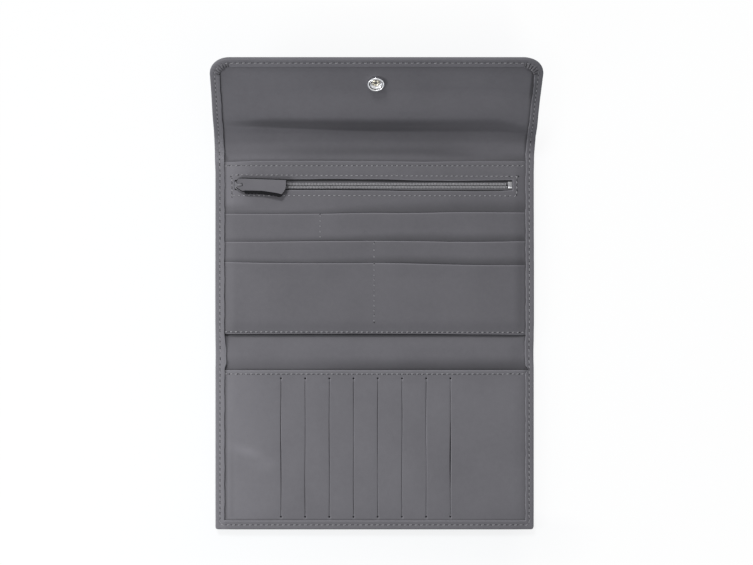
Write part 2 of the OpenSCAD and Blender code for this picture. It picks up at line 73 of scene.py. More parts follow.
# %% [markdown]
# ## Sizes
# Leather pieces are laid out flat first: u runs across the wallet, v runs along it from the card panel
# to the flap, and w is the level above the outer face, all in millimetres. The places come from the
# CAD boxes where a box shows them, so a change in the CAD carries over.

# %% Places and levels
MM = 0.001


def low(node):
    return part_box(node)[0] / MM


def high(node):
    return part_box(node)[1] / MM


HALF_W = high("front_shell").x
FREE_V = low("front_shell").y
HINGE_LOW = high("spine_shell").y + 0.05
HINGE_FRONT = low("spine_shell").y - 0.05
MOUTH_V = high("card_panel").y
BLOCK_LOW = low("slip_pocket_3").y
BLOCK_TOP = high("zip_panel").y
ZIP_V = (high("zip_teeth_upper").y + low("zip_teeth_lower").y) / 2
FOLD_TOP = BLOCK_TOP + 1.5
AXIS_W = 2.8
FOLD_R = 15.0
FLAP_ANGLE = math.radians(47)
FOLD_ARC = FOLD_R * FLAP_ANGLE
FOLD_FLAT = 13.017
CREASE_V = FOLD_TOP + FOLD_ARC + FOLD_FLAT
FLAP_LEN = 55.0
FLAP_V = CREASE_V + FLAP_LEN
CORNER_R = 12.5
SNAP_V = CREASE_V + 35.9
SHELL_T = 1.0
LINING_W = 2.0
HEM_T = 0.7
HEM_W = 6.0
GAP = 0.05
SPINE_MID = (HINGE_LOW + HINGE_FRONT) / 2
BACK_MID = 0.0
STRIP_V = FOLD_TOP + 15.0
print("crease at v", round(CREASE_V, 2), "free edge of the flap at v", round(FLAP_V, 2))
print("snap at v", round(SNAP_V, 2), "zip at", round(ZIP_V, 2))

# %% [markdown]
# ## Camera
# The photograph looks straight down from about a metre. The flap leans towards the camera, and it
# widens a little more on one side than on the other, so the camera stands left of the wallet's
# middle and its frame is shifted back, as a small lens shift does.

# %% Camera
scene = bpy.context.scene
scene.view_settings.view_transform = "Standard"


def new_object(name, data):
    piece = bpy.data.objects.new(name, data)
    scene.collection.objects.link(piece)
    return piece


camera = new_object("camera", bpy.data.cameras.new("camera"))
camera.location = (-0.0236, -0.0213, 1.003)
camera.data.sensor_width = 36.0
camera.data.lens = 74.12
camera.data.shift_x = 0.0514
camera.data.clip_start = 0.01
scene.camera = camera
print("camera height in m:", camera.location.z)

# %% [markdown]
# ## Nodes
# World, materials, floor and Geometry Nodes are built with the same few functions. One feeds the
# inputs of a node, each with the output of another node or with a constant, and the rest add the
# nodes that come up again and again.


# %% Node helpers
def feed(tree, node, sources):
    """Feeds a node's inputs, each from an output or with a constant."""
    for label, source in sources.items():
        if isinstance(source, bpy.types.NodeSocket):
            tree.links.new(source, node.inputs[label])
        else:
            node.inputs[label].default_value = source


def add_node(tree, kind, sources=None, **settings):
    node = tree.nodes.new(kind)
    for label, value in settings.items():
        setattr(node, label, value)
    feed(tree, node, sources or {})
    return node


def math_node(tree, operation, *values, clamp=False):
    node = add_node(tree, "ShaderNodeMath", dict(enumerate(values)), operation=operation, use_clamp=clamp)
    return node.outputs[0]


def weighted(tree, *terms):
    """Sum of outputs, each times its share."""
    parts = [math_node(tree, "MULTIPLY", output, share) for output, share in terms]
    total = parts[0]
    for part in parts[1:]:
        total = math_node(tree, "ADD", total, part)
    return total


def scaled(tree, vector, factor):
    return add_node(tree, "ShaderNodeVectorMath", {0: vector, "Scale": factor}, operation="SCALE").outputs[0]


def noise(tree, vector, scale, detail=2.0, rough=0.5):
    sources = {"Vector": vector, "Scale": scale, "Detail": detail, "Roughness": rough}
    return add_node(tree, "ShaderNodeTexNoise", sources).outputs["Fac"]


def new_group(kind, name, inputs, outputs):
    """An empty node group with named inputs and outputs."""
    group = bpy.data.node_groups.new(name, kind)
    for label, socket_type, value in inputs:
        socket = group.interface.new_socket(name=label, in_out="INPUT", socket_type=socket_type)
        if value is not None:
            socket.default_value = value
    for label, socket_type in outputs:
        group.interface.new_socket(name=label, in_out="OUTPUT", socket_type=socket_type)
    return group, group.nodes.new("NodeGroupInput").outputs, group.nodes.new("NodeGroupOutput").inputs


print("node helpers ready")

# %% [markdown]
# ## Light
# Two soft lamps and a pale world. The key lamp stands beyond the flap, because every upper edge in the
# photograph carries a light line and every lower edge a shadow. A nearer, lower lamp at the lower left
# lights the flap's slope, makes the left side brighter than the right and catches the lips of the
# slits. Together they light a level surface so that it renders about as its colour is written.

# %% Lamps and world
world = bpy.data.worlds.new("studio")
scene.world = world
world.use_nodes = True
sky = world.node_tree
sky.nodes.clear()
ray = add_node(sky, "ShaderNodeLightPath").outputs
seen = math_node(sky, "MAXIMUM", ray["Is Camera Ray"], ray["Is Glossy Ray"])
seen = math_node(sky, "MAXIMUM", seen, ray["Is Transmission Ray"])
fill = add_node(sky, "ShaderNodeBackground", {"Color": (0.97, 0.985, 1.0, 1), "Strength": 0.36})
white = add_node(sky, "ShaderNodeBackground", {"Strength": 1.0})
mixed = add_node(sky, "ShaderNodeMixShader", {"Fac": seen, 1: fill.outputs[0], 2: white.outputs[0]})
add_node(sky, "ShaderNodeOutputWorld", {"Surface": mixed.outputs[0]})
LAMP_AIM = Vector((0.0, -0.02, 0.0))


def soft_lamp(name, place, size, power):
    lamp = bpy.data.lights.new(name, "AREA")
    lamp.shape = "DISK"
    lamp.size = size
    lamp.energy = power
    holder = new_object(name, lamp)
    holder.location = place
    holder.rotation_euler = (LAMP_AIM - Vector(place)).to_track_quat("-Z", "Y").to_euler()
    print(name, power, "W")


soft_lamp("key_lamp", (-0.42, 1.06, 1.45), 0.45, 15.5)
soft_lamp("side_lamp", (-0.45, -0.20, 0.36), 0.26, 1.36)

# %% [markdown]
# ## Shared surface effects
# Leather and cloth share their effects as node groups that only put out values and masks: the fine
# grain of the leather with its pores and slow cloudy changes of tone, and a plain weave. Shaders stay
# in the materials, so the export can read them.

# %% Grain of the leather
grain, g_in, g_out = new_group(
    "ShaderNodeTree",
    "leather grain",
    [
        ("Place", "NodeSocketVector", None),
        ("Cells per metre", "NodeSocketFloat", 1500.0),
        ("Edge", "NodeSocketFloat", 0.0),
    ],
    [("Height", "NodeSocketFloat"), ("Tone", "NodeSocketFloat"), ("Rough", "NodeSocketFloat")],
)
cells_at = scaled(grain, g_in["Place"], g_in["Cells per metre"])
cells = add_node(grain, "ShaderNodeTexVoronoi", {"Vector": cells_at, "Scale": 1.0}, feature="SMOOTH_F1")
cells = cells.outputs["Distance"]
pores = noise(grain, cells_at, 0.45, 3.0, 0.6)
clouds = noise(grain, g_in["Place"], 26.0, 3.0, 0.55)
fibres = noise(grain, g_in["Place"], 320.0, 2.0, 0.5)
# the Edge input brings the painted highlight on lips into the tone
for label, terms in (
    ("Height", ((cells, 0.7), (pores, 0.6))),
    ("Tone", ((clouds, 0.6), (fibres, 0.25), (cells, 0.15), (g_in["Edge"], 0.25))),
    ("Rough", ((clouds, 0.12), (pores, 0.10))),
):
    grain.links.new(weighted(grain, *terms), g_out[label])
print("leather grain has", len(grain.nodes), "nodes")

# %% Plain weave
weave, w_in, w_out = new_group(
    "ShaderNodeTree",
    "plain weave",
    [("Place", "NodeSocketVector", None), ("Threads per metre", "NodeSocketFloat", 2500.0)],
    [("Height", "NodeSocketFloat"), ("Tone", "NodeSocketFloat")],
)
threads_at = scaled(weave, w_in["Place"], w_in["Threads per metre"])
split = add_node(weave, "ShaderNodeSeparateXYZ", {0: threads_at}).outputs
across, along = [math_node(weave, "SINE", math_node(weave, "MULTIPLY", split[axis], math.pi)) for axis in "XY"]
knit = math_node(weave, "MULTIPLY", across, along)
weave.links.new(math_node(weave, "ABSOLUTE", knit), w_out["Height"])
weave.links.new(math_node(weave, "MULTIPLY_ADD", knit, 0.5, 0.5), w_out["Tone"])
print("plain weave has", len(weave.nodes), "nodes")

# %% [markdown]
# ## Materials
# The leather is a smooth grey hide with a satin finish: two close tones mixed by the grain and a bump
# from the same grain. Each leather piece carries a painted highlight on its lips and other lit places
# in an "edge" attribute, and painted shade where shade falls, above mouths, beside hems and in creases,
# in a "shade" attribute. Patterns follow the flat layout, which is stored on each mesh as "flat", so the
# grain runs on over turned edges and folds as on the real hide.


# %% Leather, cloth and plain stuffs
def base_material(name):
    material = bpy.data.materials.new(name)
    material.use_nodes = True
    tree = material.node_tree
    return material, tree, tree.nodes["Principled BSDF"]


def attribute(tree, name, output="Fac"):
    return add_node(tree, "ShaderNodeAttribute", attribute_name=name).outputs[output]


def object_place(tree):
    return add_node(tree, "ShaderNodeTexCoord").outputs["Object"]


def mix_colour(tree, factor, first, second):
    """Mixes two colours, each a constant or an output."""
    sources = {"A": first, "B": second, "Factor": factor}
    sources = {label: (*x, 1) if isinstance(x, tuple) else x for label, x in sources.items()}
    return add_node(tree, "ShaderNodeMix", sources, data_type="RGBA").outputs["Result"]


def dimmed(colour, share):
    return tuple(share * x for x in colour)


def bump(tree, height, depth):
    return add_node(tree, "ShaderNodeBump", {"Distance": depth, "Height": height}).outputs["Normal"]


def leather_material(name, dark, light, roughness, depth=0.00004, cells_per_metre=1500.0, marked=True, shine=0.22):
    """Leather; a marked one follows the flat layout and carries a painted highlight on its lips and painted shade where
    shade falls.
    """
    material, tree, shader = base_material(name)
    place = attribute(tree, "flat", "Vector") if marked else object_place(tree)
    sources = {"Place": place, "Cells per metre": cells_per_metre}
    effect = add_node(tree, "ShaderNodeGroup", sources, node_tree=grain)
    colour = mix_colour(tree, effect.outputs["Tone"], dark, light)
    if marked:
        edge = attribute(tree, "edge")
        tree.links.new(edge, effect.inputs["Edge"])
        # painted highlight: lips and lit places are mixed towards a lighter tone
        colour = mix_colour(tree, math_node(tree, "MULTIPLY", edge, 0.6), colour, dimmed(light, 1.7))
        # painted shade: where shade falls the colour is mixed towards a much darker tone
        colour = mix_colour(tree, attribute(tree, "shade"), colour, dimmed(dark, 0.22))
    rough = math_node(tree, "ADD", effect.outputs["Rough"], roughness)
    normal = bump(tree, effect.outputs["Height"], depth)
    feed(tree, shader, {"Base Color": colour, "Roughness": rough, "Specular IOR Level": shine, "Normal": normal})
    return material


def cloth_material(name, dark, light, threads):
    material, tree, shader = base_material(name)
    sources = {"Place": attribute(tree, "flat", "Vector"), "Threads per metre": threads}
    effect = add_node(tree, "ShaderNodeGroup", sources, node_tree=weave)
    colour = mix_colour(tree, effect.outputs["Tone"], dark, light)
    # painted shade: where shade falls on the cloth, its colour is mixed towards a much darker tone
    colour = mix_colour(tree, attribute(tree, "shade"), colour, dimmed(dark, 0.15))
    normal = bump(tree, effect.outputs["Height"], 0.00008)
    feed(tree, shader, {"Base Color": colour, "Roughness": 0.85, "Specular IOR Level": 0.2, "Normal": normal})
    return material


def plain_material(name, dark, light, roughness, metallic=0.0, scale=900.0, depth=0.000004):
    """Thread, board, nylon or metal: two close tones and a fine bump."""
    material, tree, shader = base_material(name)
    place = object_place(tree)
    colour = mix_colour(tree, noise(tree, place, scale / 4, 3.0), dark, light)
    fine = noise(tree, place, scale, 2.0)
    rough = math_node(tree, "MULTIPLY_ADD", fine, 0.12, roughness - 0.06)
    normal = bump(tree, fine, depth)
    feed(tree, shader, {"Base Color": colour, "Roughness": rough, "Metallic": metallic, "Normal": normal})
    return material


hide_leather = leather_material("hide leather", (0.121, 0.118, 0.131), (0.192, 0.188, 0.206), 0.46)
# block leather is the hide's grey made darker as painted shade, and card leather a little lighter as painted light, for
# how the light falls on those parts
block_leather_shaded = leather_material("block leather, shaded", (0.104, 0.1015, 0.1125), (0.164, 0.160, 0.176), 0.46)
card_leather_lit = leather_material("card leather, lit", (0.126, 0.123, 0.136), (0.195, 0.191, 0.209), 0.46)
edge_paint_and_shadow = leather_material(
    "edge paint and painted shadow", (0.006, 0.006, 0.007), (0.012, 0.012, 0.014), 0.5, 0.00002, 900.0, False, 0.08
)
lining_leather = leather_material(
    "lining leather", (0.119, 0.116, 0.129), (0.188, 0.184, 0.202), 0.50, 0.00003, 1900.0
)
pull_leather = leather_material("pull leather", (0.112, 0.109, 0.121), (0.168, 0.164, 0.180), 0.44)
# the pocket cloth is dark, and its colour is made darker still as painted shade inside the slits and punched holes
lining_cloth = cloth_material("pocket cloth", (0.016, 0.016, 0.018), (0.036, 0.036, 0.040), 2600.0)
tape_cloth = cloth_material("zip tape cloth", (0.105, 0.103, 0.112), (0.17, 0.168, 0.18), 2100.0)
board_fibre = plain_material("board fibre", (0.30, 0.28, 0.25), (0.40, 0.38, 0.34), 0.9, 0.0, 700.0, 0.00003)
thread_fibre = plain_material(
    "thread fibre", (0.30, 0.297, 0.315), (0.42, 0.415, 0.435), 0.6, 0.0, 5000.0, 0.00003
)
# dark lens wider than a needle hole: painted shade of the hole and the dimple round it
hole_and_dimple_shade = plain_material("needle hole and dimple shade", (0.014, 0.014, 0.016), (0.024, 0.024, 0.027), 0.9)
nylon_teeth = plain_material("nylon teeth", (0.30, 0.297, 0.312), (0.40, 0.396, 0.412), 0.38, 0.0, 3000.0)
bright_nickel = plain_material(
    "bright nickel", (0.80, 0.805, 0.83), (0.86, 0.865, 0.885), 0.24, 1.0, 1400.0, 0.000001
)
petal_brass = plain_material("petal brass", (0.74, 0.70, 0.58), (0.86, 0.82, 0.70), 0.34, 1.0, 1800.0, 0.000002)
stop_metal_shaded = plain_material("stop metal, shaded", (0.26, 0.26, 0.27), (0.34, 0.34, 0.35), 0.45, 0.6, 1400.0, 0.000001)
groove_shade = plain_material(
    "groove shade", (0.045, 0.043, 0.040), (0.075, 0.072, 0.066), 0.5, 0.0, 1800.0, 0.000002
)
grey_lacquer = plain_material("grey lacquer", (0.150, 0.147, 0.162), (0.185, 0.182, 0.198), 0.32, 0.0, 1200.0)
print("materials:", len(bpy.data.materials))

# %% [markdown]
# ## From the flat layout to the wallet as it lies
# The flap stands open over a rounded fold, so a flat point is carried round that fold. Soft goods are
# not flat boards either: layers are pressed thin where they are sewn and rise between the seams, and
# the flap keeps a soft crease where it bends when the wallet is shut. Both are functions of u and v,
# used for every layer, so no layer cuts through its neighbour.


# %% Soft steps, pressing and creasing
def ease(x, start, end):
    """Soft step from 0 at start to 1 at end."""
    t = np.clip((x - start) / (end - start), 0, 1)
    return t * t * (3 - 2 * t)


def fall(x, start, end):
    return 1 - ease(x, start, end)


def hump(x, a, b, c, d):
    """Soft step up from a to b and down again from c to d."""
    return ease(x, a, b) * fall(x, c, d)


def bell(x, middle, width):
    return np.exp(-(((x - middle) / width) ** 2))


def press(u, v):
    """1 where the layers lie free, less where the seams press them together."""
    side = 0.5 + 0.5 * ease(HALF_W - np.abs(u), 5.0, 12.5)
    lower = 0.45 + 0.55 * ease(v, BLOCK_LOW + 0.5, BLOCK_LOW + 11)
    upper = 0.55 + 0.45 * ease(BLOCK_TOP - v, 0.5, 6.5)
    front = side * (0.6 + 0.4 * ease(v - FREE_V, 5.5, 14))
    back = np.where((v > BLOCK_LOW - 2) & (v < BLOCK_TOP + 2), side * np.minimum(lower, upper), 1.0)
    return np.where(v < MOUTH_V + 4, front, back)


def level(w, u, v):
    """Level of a leaf's lower face after pressing, from its level in the CAD."""
    return np.where(w > LINING_W, LINING_W + (w - LINING_W) * press(u, v), w)


def crease(u, v):
    """Soft crease across the flap: the leather dips before it and rises to a ridge after it."""
    across = (u + HALF_W) / (2 * HALF_W)
    turned_down = ease(across, 0.86, 1.0)
    middle = CREASE_V + 0.2
    lowest = middle - 7.5 - 2.5 * turned_down
    dip = -1.7 * hump(v, lowest - 16.5, lowest, lowest, middle + 0.5 - 6.5 * turned_down)
    ridge = 1.75 * hump(v - middle + 6.5 * turned_down, -1.0, 8.5, 9.0, 31)
    strength = (0.35 + 0.75 * ease(across, 0.0, 0.6)) * ease(v, FOLD_TOP + 4, FOLD_TOP + 12)
    valley = -0.9 * hump(v, FOLD_TOP - 1.5, FOLD_TOP + 1.5, FOLD_TOP + 2, FOLD_TOP + 11)
    return strength * (dip + ridge) + valley * (0.5 + 0.5 * ease(across, 0.3, 0.9))


def spine_bulge(u, v):
    """The soft lining of the spine stands up a little and dives under the card panel."""
    shape = hump(v, MOUTH_V - 1, HINGE_FRONT + 7, HINGE_LOW - 7, HINGE_LOW + 1)
    return 1.1 * shape * (0.5 + 0.5 * ease(u, -70, 0)) * ease(HALF_W - np.abs(u), 6, 16)


# %% Folding
def fold(points):
    """Flat layout in mm to the frame in metres, round the flap's fold."""
    u, v, w = points.T
    w = w + crease(u, v)
    along = v - FOLD_TOP
    a = np.clip(along, 0, FOLD_ARC) / FOLD_R
    past = np.maximum(along - FOLD_ARC, 0)
    r = FOLD_R + AXIS_W - w
    y = np.where(along <= 0, v, FOLD_TOP + r * np.sin(a) + past * np.cos(a))
    z = np.where(along <= 0, w, AXIS_W + FOLD_R - r * np.cos(a) + past * np.sin(a))
    return np.column_stack([u, y, z]) * MM


def fold_up(v):
    """Upward direction of a leaf at v, after folding."""
    a = np.clip(v - FOLD_TOP, 0, FOLD_ARC) / FOLD_R
    return np.column_stack([np.zeros_like(a), -np.sin(a), np.cos(a)])


print("snap seat at", [round(x / MM, 1) for x in fold(np.array([[0.0, SNAP_V, LINING_W]]))[0]])


# %% Mesh helpers
def store(mesh, name, values):
    """Stores a number or a vector for each point on the mesh."""
    values = np.asarray(values, np.float32)
    kind, field = ("FLOAT", "value") if values.ndim == 1 else ("FLOAT_VECTOR", "vector")
    mesh.attributes.new(name, kind, "POINT").data.foreach_set(field, values.ravel())


def make_piece(name, places, faces, material, flat, edge, shade, sharp):
    """A mesh object from points in metres, with its flat layout, painted highlight and painted shade stored on it."""
    mesh = bpy.data.meshes.new(name)
    mesh.from_pydata([tuple(p) for p in places], [], [tuple(int(i) for i in f) for f in faces])
    mesh.validate()
    mesh.shade_smooth()
    for label, values in (("flat", np.asarray(flat) * MM), ("edge", edge), ("shade", shade)):
        store(mesh, label, values)
    if sharp is not None:
        mesh.set_sharp_from_angle(angle=math.radians(sharp))
    mesh.materials.append(material)
    return new_object(name, mesh)


def finish_piece(piece, body, slot, *nodes):
    """Hangs a piece on its body, or, for a bend between two bodies, only bakes it where it is, and hides the nodes it
    replaces; slot is not used.
    """
    if isinstance(body, str):
        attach(piece, body)
    else:
        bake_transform(piece)
    if nodes:
        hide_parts(*nodes)
    print(piece.name, len(piece.data.polygons), "faces")


def tidy_normals(mesh):
    work = bmesh.new()
    work.from_mesh(mesh)
    bmesh.ops.recalc_face_normals(work, faces=work.faces)
    work.to_mesh(mesh)
    work.free()


# %% Leaves: lines of a grid, slabs and lips
def steps(start, end, size):
    """Values from start to end about size apart."""
    return np.linspace(start, end, max(1, int(round((end - start) / size))) + 1)


def lines(*parts):
    """All the given values in order, each once."""
    return np.unique(np.round(np.concatenate([np.atleast_1d(p) for p in parts]), 4))


NEXT = ((-1, 0, (0, 1), (0, 0)), (1, 0, (1, 0), (1, 1)), (0, -1, (0, 0), (1, 0)), (0, 1, (1, 1), (0, 1)))


def slab(u_lines, v_lines, keep=None):
    """Grid slab one unit thick: points as (u, v, side 0 or 1) and faces; keep says which cells it has."""
    nu, nv = len(u_lines), len(v_lines)
    cell = np.ones((nu - 1, nv - 1), bool) if keep is None else keep
    index = -np.ones((nu, nv, 2), int)
    points, faces = [], []

    def point(i, j, k):
        if index[i, j, k] < 0:
            index[i, j, k] = len(points)
            points.append((u_lines[i], v_lines[j], k))
        return index[i, j, k]

    for i, j in np.argwhere(cell):
        faces.append([point(i, j, 1), point(i + 1, j, 1), point(i + 1, j + 1, 1), point(i, j + 1, 1)])
        faces.append([point(i, j, 0), point(i, j + 1, 0), point(i + 1, j + 1, 0), point(i + 1, j, 0)])
        for di, dj, a, b in NEXT:
            if 0 <= i + di < nu - 1 and 0 <= j + dj < nv - 1 and cell[i + di, j + dj]:
                continue
            a, b = (i + a[0], j + a[1]), (i + b[0], j + b[1])
            faces.append([point(*a, 0), point(*b, 0), point(*b, 1), point(*a, 1)])
    return np.array(points, float), faces


LIP_W = 0.7
LIP_LOW = 0.3
LIP = np.array([0.0, 0.07, 0.18, 0.38, LIP_W])
FAR = 9.0


def roll(distance):
    """Share of the thickness near a rounded lip, from the distance to it."""
    t = np.clip(distance / LIP_W, 0, 1)
    return LIP_LOW + (1 - LIP_LOW) * np.sqrt(1 - (1 - t) ** 2)


def leaf(name, material, u_lines, v_lines, w, t, body, slot, nodes,
         keep=None, shape=None, drape=None, lip=None, shade=None, lip_light=None, glow=None):
    """One leaf of leather or cloth: a slab in the flat layout, its lips rounded, pressed and folded.

    From u and v, shape gives the points' real places, drape their rise, lip the distance to the nearest
    visible lip, shade the share of painted shade, lip_light how strong the painted highlight on the lip
    is, and glow the painted highlight away from lips.
    """
    points, faces = slab(u_lines, v_lines, keep)
    u, v, k = points.T
    away = np.full_like(u, FAR) if lip is None else lip(u, v)
    dark = np.zeros_like(u) if shade is None else shade(u, v)
    # painted highlight on the rounded lips, where the light catches them
    mark = fall(away, 0.15, 0.75) * (1.0 if lip_light is None else lip_light(u, v))
    if glow is not None:
        mark = np.maximum(mark, glow(u, v))
    thick = np.where(k > 0.5, roll(away), 0.0)
    if shape is not None:
        u, v = shape(u, v)
    base = level(np.full_like(u, w), u, v) + spine_bulge(u, v)
    if drape is not None:
        base = base + drape(u, v)
    flat = np.column_stack([u, v, base + thick * t])
    finish_piece(make_piece(name, fold(flat), faces, material, flat, mark, dark, 60), body, slot, *nodes)


def from_edge(u, v):
    """Distance from the wallet's edge in the flat layout, round the flap's corners too."""
    side = HALF_W - np.abs(u)
    square = np.minimum(side, np.minimum(FLAP_V - v, v - FREE_V))
    past_u, past_v = CORNER_R - side, v - (FLAP_V - CORNER_R)
    in_corner = (past_u > 0) & (past_v > 0)
    return np.where(in_corner, CORNER_R - np.hypot(past_u, past_v), square)


def near_hem(u, v, amount=0.45):
    """Painted shade: a dark line beside the turned edge, which is narrower on the right."""
    width = HEM_W - 0.6 * (u > 0) * (v < FLAP_V - 12) - 0.2
    return amount * fall(from_edge(u, v), width, width + 1.4)


print("helpers ready")

# %% [markdown]
# ## The outer hide
# One skin of leather covers the whole wallet. Its edge is turned over the lining and sewn down as a
# 6 mm hem. The hide is a ribbon: a flat middle, a rounded outer edge, a wall round the layers
# and the hem on top. It is made as rows along the wallet, each with an outer and an inner point, and
# on the free edges the same ribbon runs round the corners. A joint's blend joins only two bodies, so
# the hide is made in four lengths that meet in straight places and share their border points.


# %% Height of the hem
def tier_hem(v):
    """Level of the hem's lower face over the pocket block: it climbs over each slip pocket."""
    tiers = [high(node) for node in ("zip_panel", "slip_pocket_1", "slip_pocket_2", "slip_pocket_3")]
    out = np.full_like(v, tiers[0].z)
    for lower, upper in zip(tiers[:-1], tiers[1:]):
        out = out + (upper.z - lower.z) * fall(v, upper.y + 0.2, upper.y + 3.5)
    return out


def hem_level(u, v):
    bare = LINING_W + GAP
    on_block = level(tier_hem(v) - HEM_T, u, np.clip(v, BLOCK_LOW, BLOCK_TOP)) + HEM_T + GAP
    card_top = np.full_like(v, high("card_panel").z - HEM_T)
    on_cards = level(card_top, u, np.minimum(v, MOUTH_V)) + HEM_T + GAP
    block = bare + (on_block - bare) * hump(v, SPINE_MID + 0.2, BLOCK_LOW + 0.8, BLOCK_TOP + 1, BLOCK_TOP + 7)
    cards = bare + (on_cards - bare) * fall(v, MOUTH_V + 0.8, MOUTH_V + 9.5)
    return np.where(v > SPINE_MID, block, cards)


# %% The ribbon's stations, from the flat middle round the edge to the hem's inner edge
# under the layers: distance from the edge outside and inside, level outside, and level inside above SHELL_T
UNDER = (
    (8.0, 8.0, 0.0, 0.0), (6.0, 6.0, 0.0, 0.0), (4.4, 4.4, 0.0, 0.0), (3.5, 3.5, 0.01, 0.0),
    (3.0, 3.0, 0.12, 0.0), (2.5, 2.5, 0.01, 0.0), (1.7, 1.8, 0.0, 0.0), (1.0, 1.3, 0.04, 0.0),
    (0.5, 1.0, 0.18, 0.02), (0.18, 0.8, 0.48, 0.1), (0.03, 0.7, 0.9, 0.3),
)
# on the layers: the same distances, and the offsets from the hem's top and from its lower face
OVER = (
    (0.03, 0.7, -0.7, -0.12), (0.18, 0.78, -0.33, -0.02), (0.45, 0.95, -0.10, 0.0), (0.9, 1.2, -0.01, 0.0),
    (1.7, 1.7, 0.0, 0.0), (2.45, 2.45, -0.02, 0.0), (2.85, 2.85, -0.11, 0.0), (3.05, 3.05, -0.15, 0.0),
    (3.25, 3.25, -0.11, 0.0), (3.65, 3.65, -0.02, 0.0), (4.5, 4.5, 0.0, 0.0), (5.3, 5.3, -0.02, 0.0),
    (5.75, 5.75, -0.12, 0.02), (5.95, 5.95, -0.32, 0.10),
)
# each station: distance outside and inside, share of the hem's level, offset outside and inside
RIBBON = [(a, b, 0.0, c, SHELL_T + d) for a, b, c, d in UNDER] + [(0.0, 0.7, 0.5, 0.55, 0.65)]
RIBBON += [(a, b, 1.0, c, d) for a, b, c, d in OVER]
STATIONS = len(RIBBON)
ATTACH = UNDER[0][0]
print("stations across the turned edge:", STATIONS)


# %% Waves of the turned edge
def hem_wander(u, v):
    """How far the hem's inner edge stands off its straight line, and how far it is lifted."""
    shift_right = -0.6 - 0.2 * hump(v, 78, 108, 119, 127) + 0.6 * ease(v, 122, 128)
    shift_right = shift_right + 0.3 * hump(v, -74, -66, -62, -56) - 1.6 * hump(v, -80, -77.4, -77.2, -74)
    shift = np.where(u > 0, shift_right, 1.1 * hump(v, -77.6, -73, -67, -55))
    shift = shift + 0.12 * np.sin(v * 0.31 + 1.3) + 0.08 * np.sin(v * 0.83 + u * 0.01)
    lift = np.where(u > 0, 0.9 * hump(v, 98, 110, 119, 126) + 0.35 * hump(v, -82, -78, -77, -72), 0.0)
    return shift, lift


RIGHT_OFF = ((-180, 50, 57, 60, 69.5, 80, 93, 110, 125, 138), (0.25, 0.25, 0.5, 0.7, 1.05, 0.6, 0.4, 0.5, 0.55, 0.5))
LEFT_OFF = ((50, 60, 69.5, 80, 93, 110), (0.0, 0.5, 0.4, 0.2, 0.2, 0.0))


def outline_shift(u, v):
    """How far the sides stand off the ruled outline: soft leather is never quite straight."""
    off = np.where(u > 0, np.interp(v, *RIGHT_OFF), np.interp(v, *LEFT_OFF))
    return np.sign(u) * off * fall(HALF_W - np.abs(u), 3, 10)


PLEATS = 7


def pleats(turn):
    """Height of the gathers at a rounded corner: steep on one side, sloping on the other."""
    phase = (turn * PLEATS) % 1.0
    height = np.where(phase < 0.25, phase / 0.25, 1 - (phase - 0.25) / 0.75)
    return height * np.sin(np.clip(turn, 0, 1) * np.pi) ** 0.5


# %% Path round the free edges
CORNER_STEPS = 60
SQUARE_RUN = 14.0
SQUARE_STEPS = 14
COLUMNS = 90
MIRROR = np.array([-1, 1])


def half_path(end, rows, d):
    """Left half of the border at distance d from the edge, and how far each point is round the corner."""
    if end == "square":
        run = np.linspace(0, 1, SQUARE_STEPS + 1)[1:]
        rows = np.concatenate([rows, FREE_V + SQUARE_RUN + (d - SQUARE_RUN) * run])
    side = np.column_stack([np.full(len(rows), -HALF_W + d), rows])
    if end != "round":
        return side, np.zeros(len(rows))
    turn = np.linspace(0, 1, CORNER_STEPS + 1)[1:]
    a = math.pi - turn * math.pi / 2
    r = CORNER_R - d
    arc = np.column_stack([-HALF_W + CORNER_R + r * np.cos(a), FLAP_V - CORNER_R + r * np.sin(a)])
    return np.vstack([side, arc]), np.concatenate([np.zeros(len(rows)), turn])


def end_row(end, d):
    """Points of the end edge at distance d, from its left corner to its right corner."""
    if end == "round":
        u = np.linspace(-HALF_W + CORNER_R, HALF_W - CORNER_R, COLUMNS + 1)
        return np.column_stack([u, np.full(len(u), FLAP_V - d)])
    middle = np.linspace(-HALF_W + SQUARE_RUN, HALF_W - SQUARE_RUN, COLUMNS + 1 - 2 * SQUARE_STEPS)
    left = -HALF_W + d + (SQUARE_RUN - d) * np.linspace(0, 1, SQUARE_STEPS + 1)[:-1]
    u = np.concatenate([left, middle, -left[::-1]])
    return np.column_stack([u, np.full(len(u), FREE_V + d)])


# %% One length of the hide
HEM_FROM = 13
LIGHT_EDGE = 0.8
WANDER_FROM = 3.3


def border(end, rows, d, share, offset, thick):
    """One line of the ribbon, right round the length: its points and the painted shade between gathers."""
    half, turns = half_path(end, rows, d)
    tip = np.empty((0, 2)) if end is None else end_row(end, d)[1:-1]
    u, v = np.vstack([half, tip, half[::-1] * MIRROR]).T
    turn = np.concatenate([turns, np.zeros(len(tip)), turns[::-1]])
    w = share * (hem_level(u, v) + thick) + offset
    dark = np.zeros_like(u)
    if share == 1:
        on_side = np.abs(np.abs(u) - (HALF_W - d)) < 1e-6
        shift, lift = hem_wander(u, v)
        near = np.clip((d - WANDER_FROM) / (HEM_W - WANDER_FROM), 0, 1)
        u = u - np.where(on_side, np.sign(u) * shift * near, 0)
        w = w + np.where(on_side, lift * near**1.5, 0) + 0.32 * ease(np.full_like(u, d), 3.2, 5.8)
        if d > 0.6:
            gather = pleats(turn) * np.clip((d - 1.4) / 3.2, 0, 1) * (turn > 0) * (turn < 1)
            w = w + 1.15 * gather * (1.0 if thick else 0.6)
            valley = (1 - pleats(turn)) ** 2 * np.clip((d - 1.6) / 2.4, 0, 1)
            dark = np.minimum(valley * (turn > 0.02) * (turn < 0.98) * 0.95, 0.9)
    return np.column_stack([u + outline_shift(u, v), v, w]), dark


